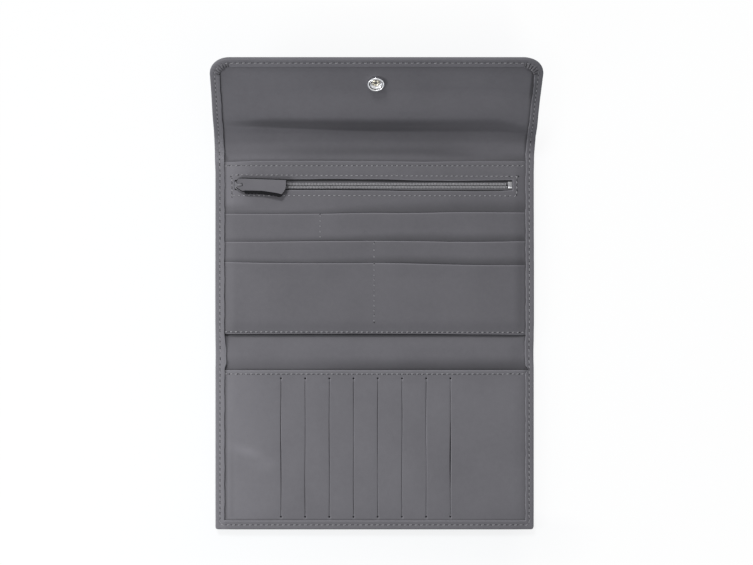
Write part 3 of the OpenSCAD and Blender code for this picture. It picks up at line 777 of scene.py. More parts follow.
def hem_light(u, v):
    """Painted highlight on the turned edge: along its left side, rippled like fine wrinkles at the flap's fold, and on
    its lip at the right of the flap.
    """
    left = fall(u, -HALF_W + 5.9, -HALF_W + 6.3)
    low_left = 0.16 * left * fall(v, -60, 10) + 0.10 * left * (v < 60)
    ripple = 0.22 + 0.22 * np.sin(v * 3.9 + 1.5 * np.sin(u * 2.0)) + 0.12 * np.sin(v * 8.3 + u)
    wrinkles = left * hump(v, 54, 59, 70, 77) * ripple
    right = 0.55 * hump(u, HALF_W - 6.6, HALF_W - 6.0, HALF_W - 5.4, HALF_W - 4.8) * hump(v, 96, 104, 122, 127)
    return np.clip(low_left + wrinkles + right, 0, 1)


def soften_corner(flat, r=1.6):
    """Rounds the outline of the two square corners a little."""
    for side in (-1, 1):
        a = HALF_W - side * flat[:, 0]
        b = flat[:, 1] - FREE_V
        da, db = r - a, r - b
        reach = np.hypot(da, db)
        over = (a < r) & (b < r) & (reach > r)
        pull = np.where(over, r / np.maximum(reach, 1e-6), 1.0)
        flat[:, 0] = np.where(over, side * (HALF_W - (r - da * pull)), flat[:, 0])
        flat[:, 1] = np.where(over, FREE_V + (r - db * pull), flat[:, 1])


def hide(name, rows, end, bend, *nodes):
    """One length of the hide. rows run from the inner end to the free end, or along the wallet."""
    rings, shades = [], []
    for outer_d, inner_d, share, outer_w, inner_w in RIBBON:
        for d, offset, thick in ((outer_d, outer_w, HEM_T), (inner_d, inner_w, 0.0)):
            ring, dark = border(end, rows, d, share, offset, thick)
            rings.append(ring)
            shades.append(dark)
    path_len, points = len(rings[0]), list(np.vstack(rings))
    half_len = len(half_path(end, rows, ATTACH)[0])
    last = STATIONS - 1

    def at(station, side, j):
        return (2 * station + side) * path_len + j

    faces = []
    segments = [j for j in range(path_len - 1) if end is not None or j != len(rows) - 1]
    for s in range(last):
        for j in segments:
            faces.append([at(s, 0, j), at(s, 0, j + 1), at(s + 1, 0, j + 1), at(s + 1, 0, j)])
            faces.append([at(s, 1, j), at(s + 1, 1, j), at(s + 1, 1, j + 1), at(s, 1, j + 1)])
    for j in segments:
        faces.append([at(last, 0, j), at(last, 0, j + 1), at(last, 1, j + 1), at(last, 1, j)])
    # the flat middle between both halves of the path
    across = end_row(end, ATTACH)[:, 0] if end == "square" else np.linspace(-1, 1, COLUMNS + 1)
    across = (across - across[0]) / (across[-1] - across[0])
    grid = np.zeros((2, half_len, COLUMNS + 1), int)
    for side in (0, 1):
        for j in range(half_len):
            left, right = at(0, side, j), at(0, side, path_len - 1 - j)
            grid[side, j, 0], grid[side, j, -1] = left, right
            if end is not None and j == half_len - 1:
                grid[side, j, 1:-1] = [at(0, side, half_len + c) for c in range(COLUMNS - 1)]
                continue
            for c in range(1, COLUMNS):
                grid[side, j, c] = len(points)
                points.append(points[left] + (points[right] - points[left]) * across[c])
    for j in range(half_len - 1):
        for c in range(COLUMNS):
            q = [(j, c), (j + 1, c), (j + 1, c + 1), (j, c + 1)]
            faces.append([grid[0][x] for x in q])
            faces.append([grid[1][x] for x in q[::-1]])
    # the cut ends, where the next length begins
    for j in [0] if end is not None else [0, half_len - 1]:
        for s in range(last):
            for k in (j, path_len - 1 - j):
                faces.append([at(s, 0, k), at(s + 1, 0, k), at(s + 1, 1, k), at(s, 1, k)])
        for c in range(COLUMNS):
            faces.append([grid[0, j, c], grid[0, j, c + 1], grid[1, j, c + 1], grid[1, j, c]])
    flat = np.array(points)
    if end == "square":
        soften_corner(flat)
    marks, dark = np.zeros(len(flat)), np.zeros(len(flat))
    hem_end = 2 * STATIONS * path_len
    # painted highlight along the hem's inner lip, and more from hem_light
    marks[hem_end - 4 * path_len:hem_end] = LIGHT_EDGE
    on_hem = slice(2 * HEM_FROM * path_len, hem_end)
    marks[on_hem] = np.maximum(marks[on_hem], hem_light(flat[on_hem, 0], flat[on_hem, 1]))
    # painted shade in the valleys between the gathers at the rounded corners
    dark[:hem_end] = np.concatenate(shades)
    piece = make_piece(name, fold(flat), faces, hide_leather, flat, marks, dark, None)
    tidy_normals(piece.data)
    piece.data.set_sharp_from_angle(angle=math.radians(55))
    finish_piece(piece, bend, "outer_leather", *nodes)


# %% Where each fold bends
def at_fold(v):
    return tuple(fold(np.array([[0.0, v, AXIS_W]]))[0])


FRONT_BEND = ("front", "spine", at_fold(HINGE_FRONT - 1.6), at_fold(HINGE_FRONT + 2.4))
LOWER_BEND = ("spine", "back", at_fold(HINGE_LOW - 3.0), at_fold(HINGE_LOW + 1.0))
FOLD_BEND = ("back", "flap_fold", at_fold(FOLD_TOP - 1.2), at_fold(FOLD_TOP + 9.0))
CREASE_BEND = ("flap_fold", "flap", at_fold(CREASE_V - 5.0), at_fold(CREASE_V + 5.0))

# %% The four lengths of the hide
front_bend_v, back_bend_v, top_bend_v = HINGE_FRONT - 6, HINGE_LOW + 6, FOLD_TOP - 6
front_rows = np.concatenate([steps(FREE_V + SQUARE_RUN, front_bend_v, 1.8)[:-1], steps(front_bend_v, SPINE_MID, 0.8)])
front_rows = front_rows[::-1]
spine_rows = np.concatenate([steps(SPINE_MID, back_bend_v, 0.8), steps(back_bend_v, BACK_MID, 1.6)[1:]])
back_rows = np.concatenate([steps(BACK_MID, top_bend_v, 1.5), steps(top_bend_v, STRIP_V, 0.9)[1:]])
flap_rows = steps(STRIP_V, FLAP_V - CORNER_R, 1.2)
hide("hide_front", front_rows, "square", FRONT_BEND, "front_shell")
hide("hide_spine", spine_rows, None, LOWER_BEND, "spine_shell")
hide("hide_back", back_rows, None, FOLD_BEND, "back_shell")
hide("hide_flap", flap_rows, "round", CREASE_BEND, "flap_fold_shell", "flap_shell")

# %% [markdown]
# ## Lining, boards and interlinings
# The lining shows on the spine and on the flap; under the pockets it only carries them. It is split
# where the hide is. Boards and interlinings are hidden between hide and lining: they are plain
# leaves, but each follows the same folds, so nothing pokes out as the wallet lies.

# %% Lining leather in four lengths, like the hide
EDGE_IN = 0.75
LEAF_HALF = HALF_W - HEM_T - GAP
LINING_T = 0.5
LINING_BASE = LINING_W - LINING_T
beside_hem = HALF_W - np.array([5, 5.8, 6.4, 7, 8])
lining_u = lines(steps(-LEAF_HALF, LEAF_HALF, 2.4), beside_hem, -beside_hem)


def lining_shade(u, v):
    """Painted shade beside the hem, under the mouth of the card panel, at the block, along the crease and below the
    snap.
    """
    right = 0.45 + 0.55 * ease(u, -70, 30)
    mouth = 0.46 * right * hump(v, MOUTH_V, MOUTH_V + 1, MOUTH_V + 1, MOUTH_V + 11) * (v < BLOCK_LOW)
    below = 0.5 * fall(BLOCK_LOW + 1.3 - v, 0.2, 2.8) * (v < BLOCK_LOW + 2)
    spine = 0.07 * (v > MOUTH_V) * (v < BLOCK_LOW + 2)
    above = 0.10 * fall(v - BLOCK_TOP, 0.8, 4) * (v > BLOCK_TOP - 1) * right
    # along the crease a band of painted shade, wider on the right, and a paler part below it
    wide, tail, turn = ease(u, -80, 10), ease(u, -102, -58), ease(u, 74, HALF_W)
    upper = v - CREASE_V + 6.5 * turn - 1.3 * (1 - wide)
    lower = v - CREASE_V + turn - 1.3 * (1 - wide)
    band = ease(lower, -1.5 - 1.5 * tail - 3.6 * wide, 0.5 - 1.6 * tail - 3.4 * wide)
    band = band * fall(upper, 1.8 + 0.4 * tail, 4.2 + 4.4 * tail + 1.2 * wide)
    band = band * (0.46 - 0.26 * ease(u, 0, 85)) * ease(u, -103, -68)
    low_part = 0.11 * ease(u, -60, 0) * hump(upper, -24, -17, -8, -4)
    low_part = low_part * (1 - 0.9 * ease(u, 40, 70) * ease(upper, -22, -14))
    low_part = low_part + 0.13 * hump(u, -80, -40, 40, 80) * fall(upper, -19, -14) * (v > BLOCK_TOP - 1)
    fold_line = 0.08 + 0.08 * ease(u, -80, 0) + 0.12 * ease(u, 40, 90)
    fold_line = fold_line * bell(v + 3.8 * ease(u, 20, 85), 62.5, 2.2)
    gap = 0.95 * bell(from_edge(u, v), 5.7, 0.6) * (u > 0) * hump(v, 103, 110, 126, 131)
    nick = 0.8 * bell(u, 96.8, 1.1) * bell(v, MOUTH_V + 0.9, 1.3)
    top_line = 0.62 * fall(FLAP_V - v, HEM_W, HEM_W + 1.1)
    snap = 0.26 * bell(u, 2.5, 4.5) * bell(v, SNAP_V - 6.6, 1.6)
    soft = np.maximum(mouth, below) + spine + above + band + low_part + fold_line + snap
    return np.clip(np.maximum.reduce([near_hem(u, v, 0.46), gap, nick, top_line, soft]), 0, 0.95)


corner_u, corner_v, flap_end = HALF_W - CORNER_R, FLAP_V - CORNER_R, FLAP_V - EDGE_IN


def round_flap(u, v):
    """Draws the slab's free corners in to the flap's rounded outline."""
    x, y = (np.abs(u) - corner_u) / (LEAF_HALF - corner_u), (v - corner_v) / (flap_end - corner_v)
    inside = (x > 0) & (y > 0)
    length = np.hypot(x, y)
    pull = np.where(length > 1e-9, np.maximum(x, y) / np.maximum(length, 1e-9), 1.0) * (CORNER_R - EDGE_IN)
    return np.where(inside, np.sign(u) * (corner_u + x * pull), u), np.where(inside, corner_v + y * pull, v)


corner = steps(corner_u, LEAF_HALF, 0.9)
flap_u = np.concatenate([-corner[::-1], steps(-corner_u, corner_u, 2.0)[1:-1], corner])
flap_v = np.concatenate([steps(STRIP_V, corner_v, 1.2), steps(corner_v, flap_end, 1.2)[1:]])
free_end = FREE_V + EDGE_IN
LINED = dict(shade=lining_shade)
LINED_FLAP = dict(shade=lining_shade, shape=round_flap)
for name, u_lines, v_lines, bend, nodes, looks in (
    ("lining_front", lining_u, steps(free_end, SPINE_MID, 1.2), FRONT_BEND, ["front_lining"], LINED),
    ("lining_spine", lining_u, steps(SPINE_MID, BACK_MID, 1.2), LOWER_BEND, ["spine_lining"], LINED),
    ("lining_back", lining_u, steps(BACK_MID, STRIP_V, 1.2), FOLD_BEND, ["back_lining"], LINED),
    ("lining_flap", flap_u, flap_v, CREASE_BEND, ["flap_fold_lining", "flap_lining"], LINED_FLAP),
):
    leaf(name, lining_leather, u_lines, v_lines, LINING_BASE, LINING_T, bend, "lining_leather", nodes, **looks)

# %% Boards and interlinings
coarse_u = steps(-LEAF_HALF, LEAF_HALF, 6.0)
board_flap_v = np.concatenate([steps(CREASE_V + 1, corner_v, 1.5), steps(corner_v, flap_end, 1.5)[1:]])
for name, v_lines, w, t, body, node in (
    ("board_front", steps(free_end, HINGE_FRONT - 1, 6), 1.0, 0.48, "front", "front_board"),
    ("interlining_spine", steps(HINGE_FRONT + 1, HINGE_LOW - 1, 2), 1.02, 0.4, "spine", "spine_interlining"),
    ("board_back", steps(HINGE_LOW + 1, FOLD_TOP - 1.6, 6), 1.0, 0.48, "back", "back_board"),
    ("interlining_flap_fold", steps(FOLD_TOP + 1.2, CREASE_V - 1, 1.2), 1.06, 0.34, FOLD_BEND, "flap_fold_interlining"),
):
    leaf(name, board_fibre, coarse_u, v_lines, w, t, body, "board", [node])
leaf(
    "board_flap", board_fibre, flap_u, board_flap_v, 1.04, 0.42, CREASE_BEND, "board", ["flap_board"],
    shape=round_flap,
)

# %% [markdown]
# ## The pocket block on the back panel
# From below: a cloth pouch behind the zip, the zip on its two tapes, the zip panel with its long
# window, and three stepped slip pockets whose leaves go on downwards in cloth. Each leather leaf is a
# thin slab with softened cut edges. The mouths sag a little between the seams that hold them.


# %% Coin pouch and tapes
CLOTH_T, TAPE_T, POCKET_T = 0.2, 0.3, 0.7


def cloth(name, node, w, body="back", t=CLOTH_T, size=4, u_lines=coarse_u, nodes=None, **more):
    """A leaf of pocket cloth as long as its node."""
    v_lines = more.pop("v_lines", steps(low(node).y, high(node).y, size))
    leaf(name, lining_cloth, u_lines, v_lines, w, t, body, "pocket_cloth", [node] if nodes is None else nodes, **more)


def window_mask(u_lines, v_lines, u_ends, v_ends):
    """Which cells lie outside a window."""
    mid_u, mid_v = (u_lines[1:] + u_lines[:-1]) / 2, (v_lines[1:] + v_lines[:-1]) / 2
    in_u, in_v = [(mid > ends[0]) & (mid < ends[1]) for mid, ends in ((mid_u, u_ends), (mid_v, v_ends))]
    return ~(in_u[:, None] & in_v[None, :])


pouch_low, pouch_high = low("coin_pouch"), high("coin_pouch")
pouch_u = steps(-pouch_high.x, pouch_high.x, 4)
cloth("coin_pouch_back", "coin_pouch", pouch_low.z, u_lines=pouch_u)
WINDOW_U = (low("zip_top_stops").x - 0.2, high("zip_end_stop").x + 0.2)
WINDOW_V = (ZIP_V - 3.2, ZIP_V + 3.2)
mouth_u_ends, mouth_v_ends = (WINDOW_U[0] - 0.4, WINDOW_U[1] + 0.4), (ZIP_V - 3.6, ZIP_V + 3.6)
mouth_u = lines(pouch_u, mouth_u_ends)
mouth_v = lines(steps(pouch_low.y, pouch_high.y, 4), mouth_v_ends)
mouth_mask = window_mask(mouth_u, mouth_v, mouth_u_ends, mouth_v_ends)
cloth(
    "coin_pouch_front", "coin_pouch", pouch_high.z - 0.25,
    u_lines=mouth_u, v_lines=mouth_v, nodes=[], keep=mouth_mask,
)


def tape_shade(u, v):
    """Painted shadow on the tape under the window's edges."""
    drop = 0.9 * ease(u, -20, 30)
    return 0.95 * np.maximum(ease(v - ZIP_V + 0.6 * drop, 2.1, 2.7), ease(ZIP_V - v - drop, 1.9, 2.5))


for side, node in ((1, "zip_tape_upper"), (-1, "zip_tape_lower")):
    tape_u = steps(low("zip_tape_upper").x, high("zip_tape_upper").x, 2.5)
    tape_v = steps(*sorted([ZIP_V + side * 0.35, ZIP_V + side * 9.35]), 0.4)
    tape_name = node.replace("zip_", "woven_")
    leaf(tape_name, tape_cloth, tape_u, tape_v, low(node).z, TAPE_T, "back", "zip_tape", [node], shade=tape_shade)

# %% Mouths of the pockets
MOUTHS = [high(f"slip_pocket_{i}").y for i in (1, 2, 3)]
MOUTH_U = (-92, -73, -48, -32, -15, 0, 16, 32, 49, 65, 80, 92)
MOUTH_OFF = (
    (0.9, 0.8, 0.77, 0.7, 0.95, 1.1, 0.9, 1.15, 1.6, 1.75, 1.75, 1.75),
    (0.6, 0.6, 0.8, 0.9, 0.95, 1.15, 1.15, 1.1, 0.85, 0.85, 1.0, 1.2),
    (1.5, 1.1, 0.85, 0.75, 0.65, 0.7, 0.45, -0.05, -0.45, -0.75, -0.75, -0.75),
)
LOWER_OFF = (0.7, 1.0, 0.85, 0.9, 1.3, 1.15, 1.0, 1.25, 1.15, 0.75, 0.7, 0.7)
# how far each mouth stands open, the phase of its waves, and where the seam that divides it is
POCKETS = ((0.8, 1.2, -35.0), (0.85, 2.6, -0.3), (0.9, 0.4, -0.3))


def mouth_off(i, u):
    """A pocket's mouth is never quite straight: its distance from the ruled line."""
    return np.interp(u, MOUTH_U, MOUTH_OFF[i]) + 0.22 * np.sin(u * 0.028 + POCKETS[i][1])


def shade_above_mouth(i, u, v, left, right, reach_left, reach_right):
    """Painted shade just above a pocket's mouth, more on the right."""
    across = ease(u, -60, 40)
    return (left + right * across) * fall(v - MOUTHS[i] - mouth_off(i, u), 0.2, reach_left + reach_right * across)


# %% Zip panel with its window
panel_u = lines(
    steps(-LEAF_HALF, WINDOW_U[0] - LIP_W, 1.4), WINDOW_U[0] - LIP, steps(*WINDOW_U, 2.2),
    WINDOW_U[1] + LIP, steps(WINDOW_U[1] + LIP_W, LEAF_HALF, 1.4),
)
panel_v = lines(
    steps(low("zip_panel").y, WINDOW_V[0] - LIP_W, 1.1), WINDOW_V[0] - LIP, WINDOW_V[1] + LIP,
    steps(WINDOW_V[1] + LIP_W, BLOCK_TOP - LIP_W, 1.1), BLOCK_TOP - LIP,
)
WINDOW_RISE = ((-60, -48, -32, -15, 0, 16, 32, 49, 65), (0.45, 0.85, 0.9, 0.8, 0.5, 0.0, -0.25, -0.5, 0.0))
WINDOW_DROP = ((-48, 0, 16), (0.1, -0.25, -0.65))
PANEL_TOP = ((-92, -80, -32, -15, 0, 16, 32, 49, 65), (0.6, 1.15, 1.2, 1.0, 0.95, 0.8, 0.55, 0.85, 0.95))


def panel_lip(u, v):
    """Distance to the window or to the panel's upper edge."""
    past = [WINDOW_U[0] - u, u - WINDOW_U[1], WINDOW_V[0] - v, v - WINDOW_V[1]]
    return np.minimum(np.abs(np.maximum.reduce(past)), BLOCK_TOP - v)


def panel_shade(u, v):
    """Painted shade above the first pocket's mouth and beside the hem."""
    return np.maximum(shade_above_mouth(0, u, v, 0.30, 0.13, 3.2, 7.0) * (v < ZIP_V - 4), near_hem(u, v))


def panel_highlight(u, v):
    """Painted highlight on the panel's left end, round the closed slider."""
    return 0.48 * fall(u, -93, -74) * ease(v, 26, 31)


def panel_drape(u, v):
    """Below the zip the panel sinks towards the first pocket, more on the right."""
    sink = 0.25 * hump(v, 22.2, 27, 27, 36) * (0.4 + 0.6 * ease(u, -40, 40))
    return 0.05 * np.sin(u * 0.05 + 1) - sink


def window_waver(u, v):
    """The window's edges aren't ruled lines: they waver a little, and its ends are softly rounded."""
    lower, upper = [1 - np.clip(np.abs(v - edge) / 3, 0, 1) for edge in WINDOW_V]
    wave = 0.16 * np.sin(u * 0.055 + 0.6) + 0.1 * np.sin(u * 0.17)
    middle = hump(u, WINDOW_U[0], WINDOW_U[0] + 8, WINDOW_U[1] - 8, WINDOW_U[1])
    moved = (wave + np.interp(u, *WINDOW_RISE)) * upper + (0.5 * wave + 0.1 + np.interp(u, *WINDOW_DROP)) * lower
    return u, v + moved * middle + fall(BLOCK_TOP - v, 0, 3) * np.interp(u, *PANEL_TOP)


leaf(
    "zip_panel_leather", block_leather_shaded, panel_u, panel_v, low("zip_panel").z, POCKET_T, "back", "pocket_leather",
    ["zip_panel"], keep=window_mask(panel_u, panel_v, WINDOW_U, WINDOW_V), shape=window_waver, drape=panel_drape,
    lip=panel_lip, shade=panel_shade, glow=panel_highlight,
)

# %% Slip pockets and their cloth
block_u = lines(steps(-LEAF_HALF, LEAF_HALF, 2.2), beside_hem, -beside_hem)


def mouth_sag(v_mouth, amount, phase, divider):
    """The mouth stands open a little between the seams that hold it."""
    def drape(u, v):
        near = fall(v_mouth - v, 0, 10) * (v > v_mouth - 10)
        middle = ease(HALF_W - np.abs(u), 7, 36) * (1 - 0.8 * bell(u, divider, 8))
        open_by = near * middle * amount * (0.75 + 0.25 * np.sin(u * 0.045 + phase))
        return open_by + 0.06 * np.sin(u * 0.06 + v * 0.08 + phase)
    return drape


def mouth_line(i, v_mouth, v_low):
    """Moves the mouth to its real line, and the lowest pocket's lower edge too."""
    def shape(u, v):
        moved = v + fall(v_mouth - v, 0, 6) * mouth_off(i, u)
        if i == 2:
            lower = EDGE_IN + np.interp(u, MOUTH_U, LOWER_OFF) - 0.35 * ease(u, -60, 60) + 0.12 * np.sin(u * 0.11)
            moved = moved + fall(v - v_low, 0, 5) * lower
        return u, moved
    return shape


def pocket_shade(i):
    """Painted shade above the next pocket's mouth and beside the hem; the lowest pocket has no next one."""
    def shade(u, v):
        over = shade_above_mouth(i + 1, u, v, 0.34, 0.14, 3.6, 3.4) if i < 2 else 0.0
        return np.maximum(over, near_hem(u, v))
    return shade


def pocket_lip(v0, v1):
    return lambda u, v: np.minimum(v1 - v, v - v0)


pocket_drapes = []
for i, (amount, phase, divider) in enumerate(POCKETS):
    node = f"slip_pocket_{i + 1}"
    v0, v1 = low(node).y, high(node).y
    pocket_drapes.append(mouth_sag(v1, amount, phase, divider))
    leaf(
        node + "_leather", block_leather_shaded, block_u, lines(v0 + LIP, steps(v0 + LIP_W, v1 - LIP_W, 1.3), v1 - LIP),
        low(node).z, high(node).z - low(node).z, "back", "pocket_leather", [node],
        drape=pocket_drapes[i], shape=mouth_line(i, v1, v0), lip=pocket_lip(v0, v1), shade=pocket_shade(i),
    )
for node in ("zip_panel_lining", "slip_pocket_1_lining", "slip_pocket_2_lining"):
    cloth(node.replace("lining", "cloth"), node, low(node).z)

# %% [markdown]
# ## The card panel
# One leaf of leather with eight upright slits. Each slit is a knife cut between two punched holes
# that stop it from tearing. The lips part where cards have been in and out, so each slit has its own
# gape, and each strip between two slits is slightly crowned.

# %% Card panel with its slits
SLIT_PITCH, SLIT_LEN = 15.6, 89.3
SLITS = -60.2 + SLIT_PITCH * np.arange(8)
SLIT_TOP = MOUTH_V - 4.6
SLIT_LOW = SLIT_TOP - SLIT_LEN
PUNCH_R = 0.55
# half widths, before they are opened, of a slit and of the square that becomes its punched hole
CUT, PUNCH_HALF = 0.035, 0.39
half_slit = np.array([CUT, 0.12, 0.22, PUNCH_HALF, 0.75, 1.3])
near_slit = np.concatenate([-half_slit[::-1], half_slit])
near_end = np.array([-0.75, -PUNCH_HALF, -0.2, 0.0, 0.2, PUNCH_HALF, 0.75])
card_u = lines(
    [-LEAF_HALF, LEAF_HALF], steps(-LEAF_HALF + 0.5, SLITS[0] - 1.3, 2.4), *[s + near_slit for s in SLITS],
    *[steps(s + 1.3, s + 14.3, 1.9) for s in SLITS[:-1]], steps(SLITS[-1] + 1.3, LEAF_HALF - 0.5, 2.4),
)
card_v = lines(
    steps(low("card_panel").y, SLIT_LOW - 0.75, 1.8), SLIT_LOW + near_end, steps(SLIT_LOW + 0.75, SLIT_TOP - 0.75, 1.6),
    SLIT_TOP + near_end, steps(SLIT_TOP + 0.75, MOUTH_V - LIP_W, 1.1), MOUTH_V - LIP,
)
mid_u, mid_v = (card_u[1:] + card_u[:-1]) / 2, (card_v[1:] + card_v[:-1]) / 2
off_slit = np.abs(mid_u[:, None] - SLITS[None, :]).min(1)
off_end = np.minimum(np.abs(mid_v - SLIT_LOW), np.abs(mid_v - SLIT_TOP))
cut = (off_slit < CUT)[:, None] & ((mid_v > SLIT_LOW) & (mid_v < SLIT_TOP))[None, :]
punched = (off_slit < PUNCH_HALF)[:, None] & (off_end < PUNCH_HALF)[None, :]
# how far each slit stands open all along, how far at its widest place, where that is, and over what share
GAPE = (
    (0.05, 0.24, 0.45, 0.22), (0.01, 0.10, 0.15, 0.14), (0.02, 0.08, 0.5, 0.3), (0.0, 0.08, 0.1, 0.1),
    (-0.03, 0.10, 0.85, 0.1), (0.0, 0.16, 0.75, 0.16), (0.03, 0.05, 0.7, 0.2), (0.06, 0.50, 0.42, 0.17),
)
# how strong the painted highlight is on each slit's lips
SLIT_LIGHT = np.array([0.5, 0.25, 0.3, 0.25, 0.15, 0.35, 1.0, 1.0])


def card_shape(u, v):
    """Rounds the punched ends and parts the lips of each slit."""
    new_u, new_v = u, v
    share = np.clip((v - SLIT_LOW) / (SLIT_TOP - SLIT_LOW), 0, 1)
    inside = hump(v, SLIT_LOW + 0.6, SLIT_LOW + 5, SLIT_TOP - 5, SLIT_TOP - 0.6)
    for s, (gape, peak, where, spread) in zip(SLITS, GAPE):
        for end in (SLIT_LOW, SLIT_TOP):
            du, dv = u - s, v - end
            on_ring = np.abs(np.maximum(np.abs(du), np.abs(dv)) - PUNCH_HALF) < 0.01
            length = np.maximum(np.hypot(du, dv), 1e-9)
            new_u = np.where(on_ring, s + du / length * PUNCH_R, new_u)
            new_v = np.where(on_ring, end + dv / length * PUNCH_R, new_v)
        opened = gape + peak * bell(share, where, spread)
        near = np.clip(1 - (np.abs(u - s) - CUT) / 4.0, 0, 1)
        new_u = new_u + (np.sign(u - s) * opened * 0.5 + 0.12 * np.sin(v * 0.09 + s)) * near * inside
    return new_u, new_v + 0.7 * fall(MOUTH_V - v, 0.8, 3.0)


def card_drape(u, v):
    """Strips crowned between the slits, right lips a little higher than left lips."""
    first, last = SLITS[0], SLITS[-1]
    phase = ((u - first) / SLIT_PITCH) % 1.0
    crown = np.where((u > first) & (u < last), 0.22 * np.sin(phase * math.pi) + 0.26 * (1 - phase) ** 4, 0.0)
    outer_left = np.where(u < first, 0.10 * np.exp(-np.abs(u - first) / 9), 0)
    outer_right = np.where(u > last, 0.40 * np.exp(-np.abs(u - last) / 8), 0)
    inside = hump(v, SLIT_LOW, SLIT_LOW + 12, SLIT_TOP - 12, SLIT_TOP)
    mouth = 0.75 * fall(MOUTH_V - v, 0, 8) * ease(HALF_W - np.abs(u), 7, 30) * (0.8 + 0.2 * np.sin(u * 0.05))
    dent = -0.35 * bell(u, -84, 8) * bell(v, -134, 14)
    return inside * (crown + outer_left + outer_right) + mouth + dent + 0.06 * np.sin(u * 0.07 + v * 0.05)


def card_lip(u, v):
    """Distance to the mouth, a slit or a punched hole."""
    off = np.abs(u[:, None] - SLITS[None, :]).min(1)
    in_slit = (v > SLIT_LOW - 0.01) & (v < SLIT_TOP + 0.01)
    to_slit = np.where(in_slit, off - CUT, FAR)
    to_hole = np.maximum(off, np.minimum(np.abs(v - SLIT_LOW), np.abs(v - SLIT_TOP))) - PUNCH_HALF
    return np.maximum(np.minimum(1.6 * np.minimum(to_slit, to_hole), MOUTH_V - v), 0)


def card_lip_light(u, v):
    """Painted highlight on the slits' lips: strong on some, faint on others."""
    k = np.clip(np.round((u - SLITS[0]) / SLIT_PITCH), 0, 7).astype(int)
    at_slit = (np.abs(u - SLITS[k]) < 1.4) & (v < SLIT_TOP - 0.8) & (v > SLIT_LOW + 0.8)
    return np.where(at_slit, SLIT_LIGHT[k] * (0.65 + 0.35 * np.sin(v * 0.09 + 2.1 * k)), 1.0)


def card_highlight(u, v):
    """Painted highlight over the left part, with a few pale scuffs."""
    scuff = 0.30 * bell(u, -82, 10) * bell(v + 0.3 * (u + 82), -130, 3.2)
    return 0.14 * fall(u, -90, -58) + scuff + 0.18 * bell(u, -70, 7) * bell(v, -139, 4.0)


def card_shade(u, v):
    """Painted shade on the left lip of each slit, and on the leather beside the hem."""
    k = (u - SLITS[0]) / SLIT_PITCH
    behind = (np.ceil(k) - k) * SLIT_PITCH
    vary = 0.5 + 0.5 * np.sin(v * 0.045 + np.ceil(k) * 1.9)
    lip = 0.34 * vary * np.exp(-behind / 0.5) * (u < SLITS[-1] + 0.01) * (v > SLIT_LOW) * (v < SLIT_TOP)
    return np.maximum(near_hem(u, v), lip)


leaf(
    "card_panel_leather", card_leather_lit, card_u, card_v, low("card_panel").z, POCKET_T, "front", "pocket_leather",
    ["card_panel"], keep=~(cut | punched), shape=card_shape, drape=card_drape, lip=card_lip, shade=card_shade,
    lip_light=card_lip_light, glow=card_highlight,
)

# %% Cloth behind the slits
cloth("card_backing_cloth", "card_backing", low("card_backing").z, "front", size=5)
for i, s in enumerate(SLITS):
    cloth(
        f"card_lining_{i + 1}", "card_linings", low("card_linings").z + (i % 4) * 0.2, "front", 0.15, 5,
        steps(s + 0.6, min(s + 46, LEAF_HALF), 5), None if i == 0 else [],
    )

# %% [markdown]
# ## The zip
# A nylon coil zip: two rows of small loops sewn to woven tapes. One loop is a rounded lump with a few
# faces, and a Geometry Nodes tree sets it out along a line at the coil's pitch.


# %% A tree that sets out one small shape along a line
def run_tree():
    """Sets a shape out along edges: its X follows the edge, its Z follows the stored direction 'up'."""
    tree, given, result = new_group(
        "GeometryNodeTree",
        "set out along a path",
        [
            ("Path", "NodeSocketGeometry", None),
            ("Pitch", "NodeSocketFloat", 0.0035),
            ("Shape", "NodeSocketObject", None),
            ("Wander", "NodeSocketFloat", 0.05),
            ("Seed", "NodeSocketInt", 3),
            ("Finish", "NodeSocketMaterial", None),
        ],
        [("Result", "NodeSocketGeometry")],
    )

    def add(kind, sources=None, **settings):
        return add_node(tree, kind, sources, **settings).outputs

    curve = add("GeometryNodeMeshToCurve", {"Mesh": given["Path"]})["Curve"]
    spaced = add("GeometryNodeResampleCurve", {"Curve": curve, "Length": given["Pitch"]}, mode="LENGTH")
    tangent = add("GeometryNodeInputTangent")["Tangent"]
    up = add("GeometryNodeInputNamedAttribute", {"Name": "up"}, data_type="FLOAT_VECTOR")["Attribute"]
    turn = add("FunctionNodeAlignRotationToVector", {"Vector": tangent}, axis="X")["Rotation"]
    turn = add("FunctionNodeAlignRotationToVector", {"Rotation": turn, "Vector": up}, axis="Z", pivot_axis="X")
    least = math_node(tree, "MULTIPLY", given["Wander"], -1.0)
    chance = add("FunctionNodeRandomValue", {"Seed": given["Seed"], 2: least, 3: given["Wander"]}, data_type="FLOAT")
    spin = add("ShaderNodeCombineXYZ", {"Z": chance[1]})[0]
    shape = add("GeometryNodeObjectInfo", {"Object": given["Shape"]})["Geometry"]
    sources = {"Points": spaced["Curve"], "Instance": shape, "Rotation": turn["Rotation"]}
    placed = add("GeometryNodeInstanceOnPoints", sources)["Instances"]
    placed = add("GeometryNodeRotateInstances", {"Instances": placed, "Rotation": spin})["Instances"]
    real = add("GeometryNodeRealizeInstances", {"Geometry": placed})["Geometry"]
    index = add("GeometryNodeInputMaterialIndex")[0]
    first = add("FunctionNodeCompare", {2: index}, data_type="INT", operation="EQUAL")[0]
    sources = {"Geometry": real, "Selection": first, "Material": given["Finish"]}
    tree.links.new(add("GeometryNodeSetMaterial", sources)["Geometry"], result["Result"])
    return tree


SET_OUT = run_tree()
print("the tree has", len(SET_OUT.nodes), "nodes")


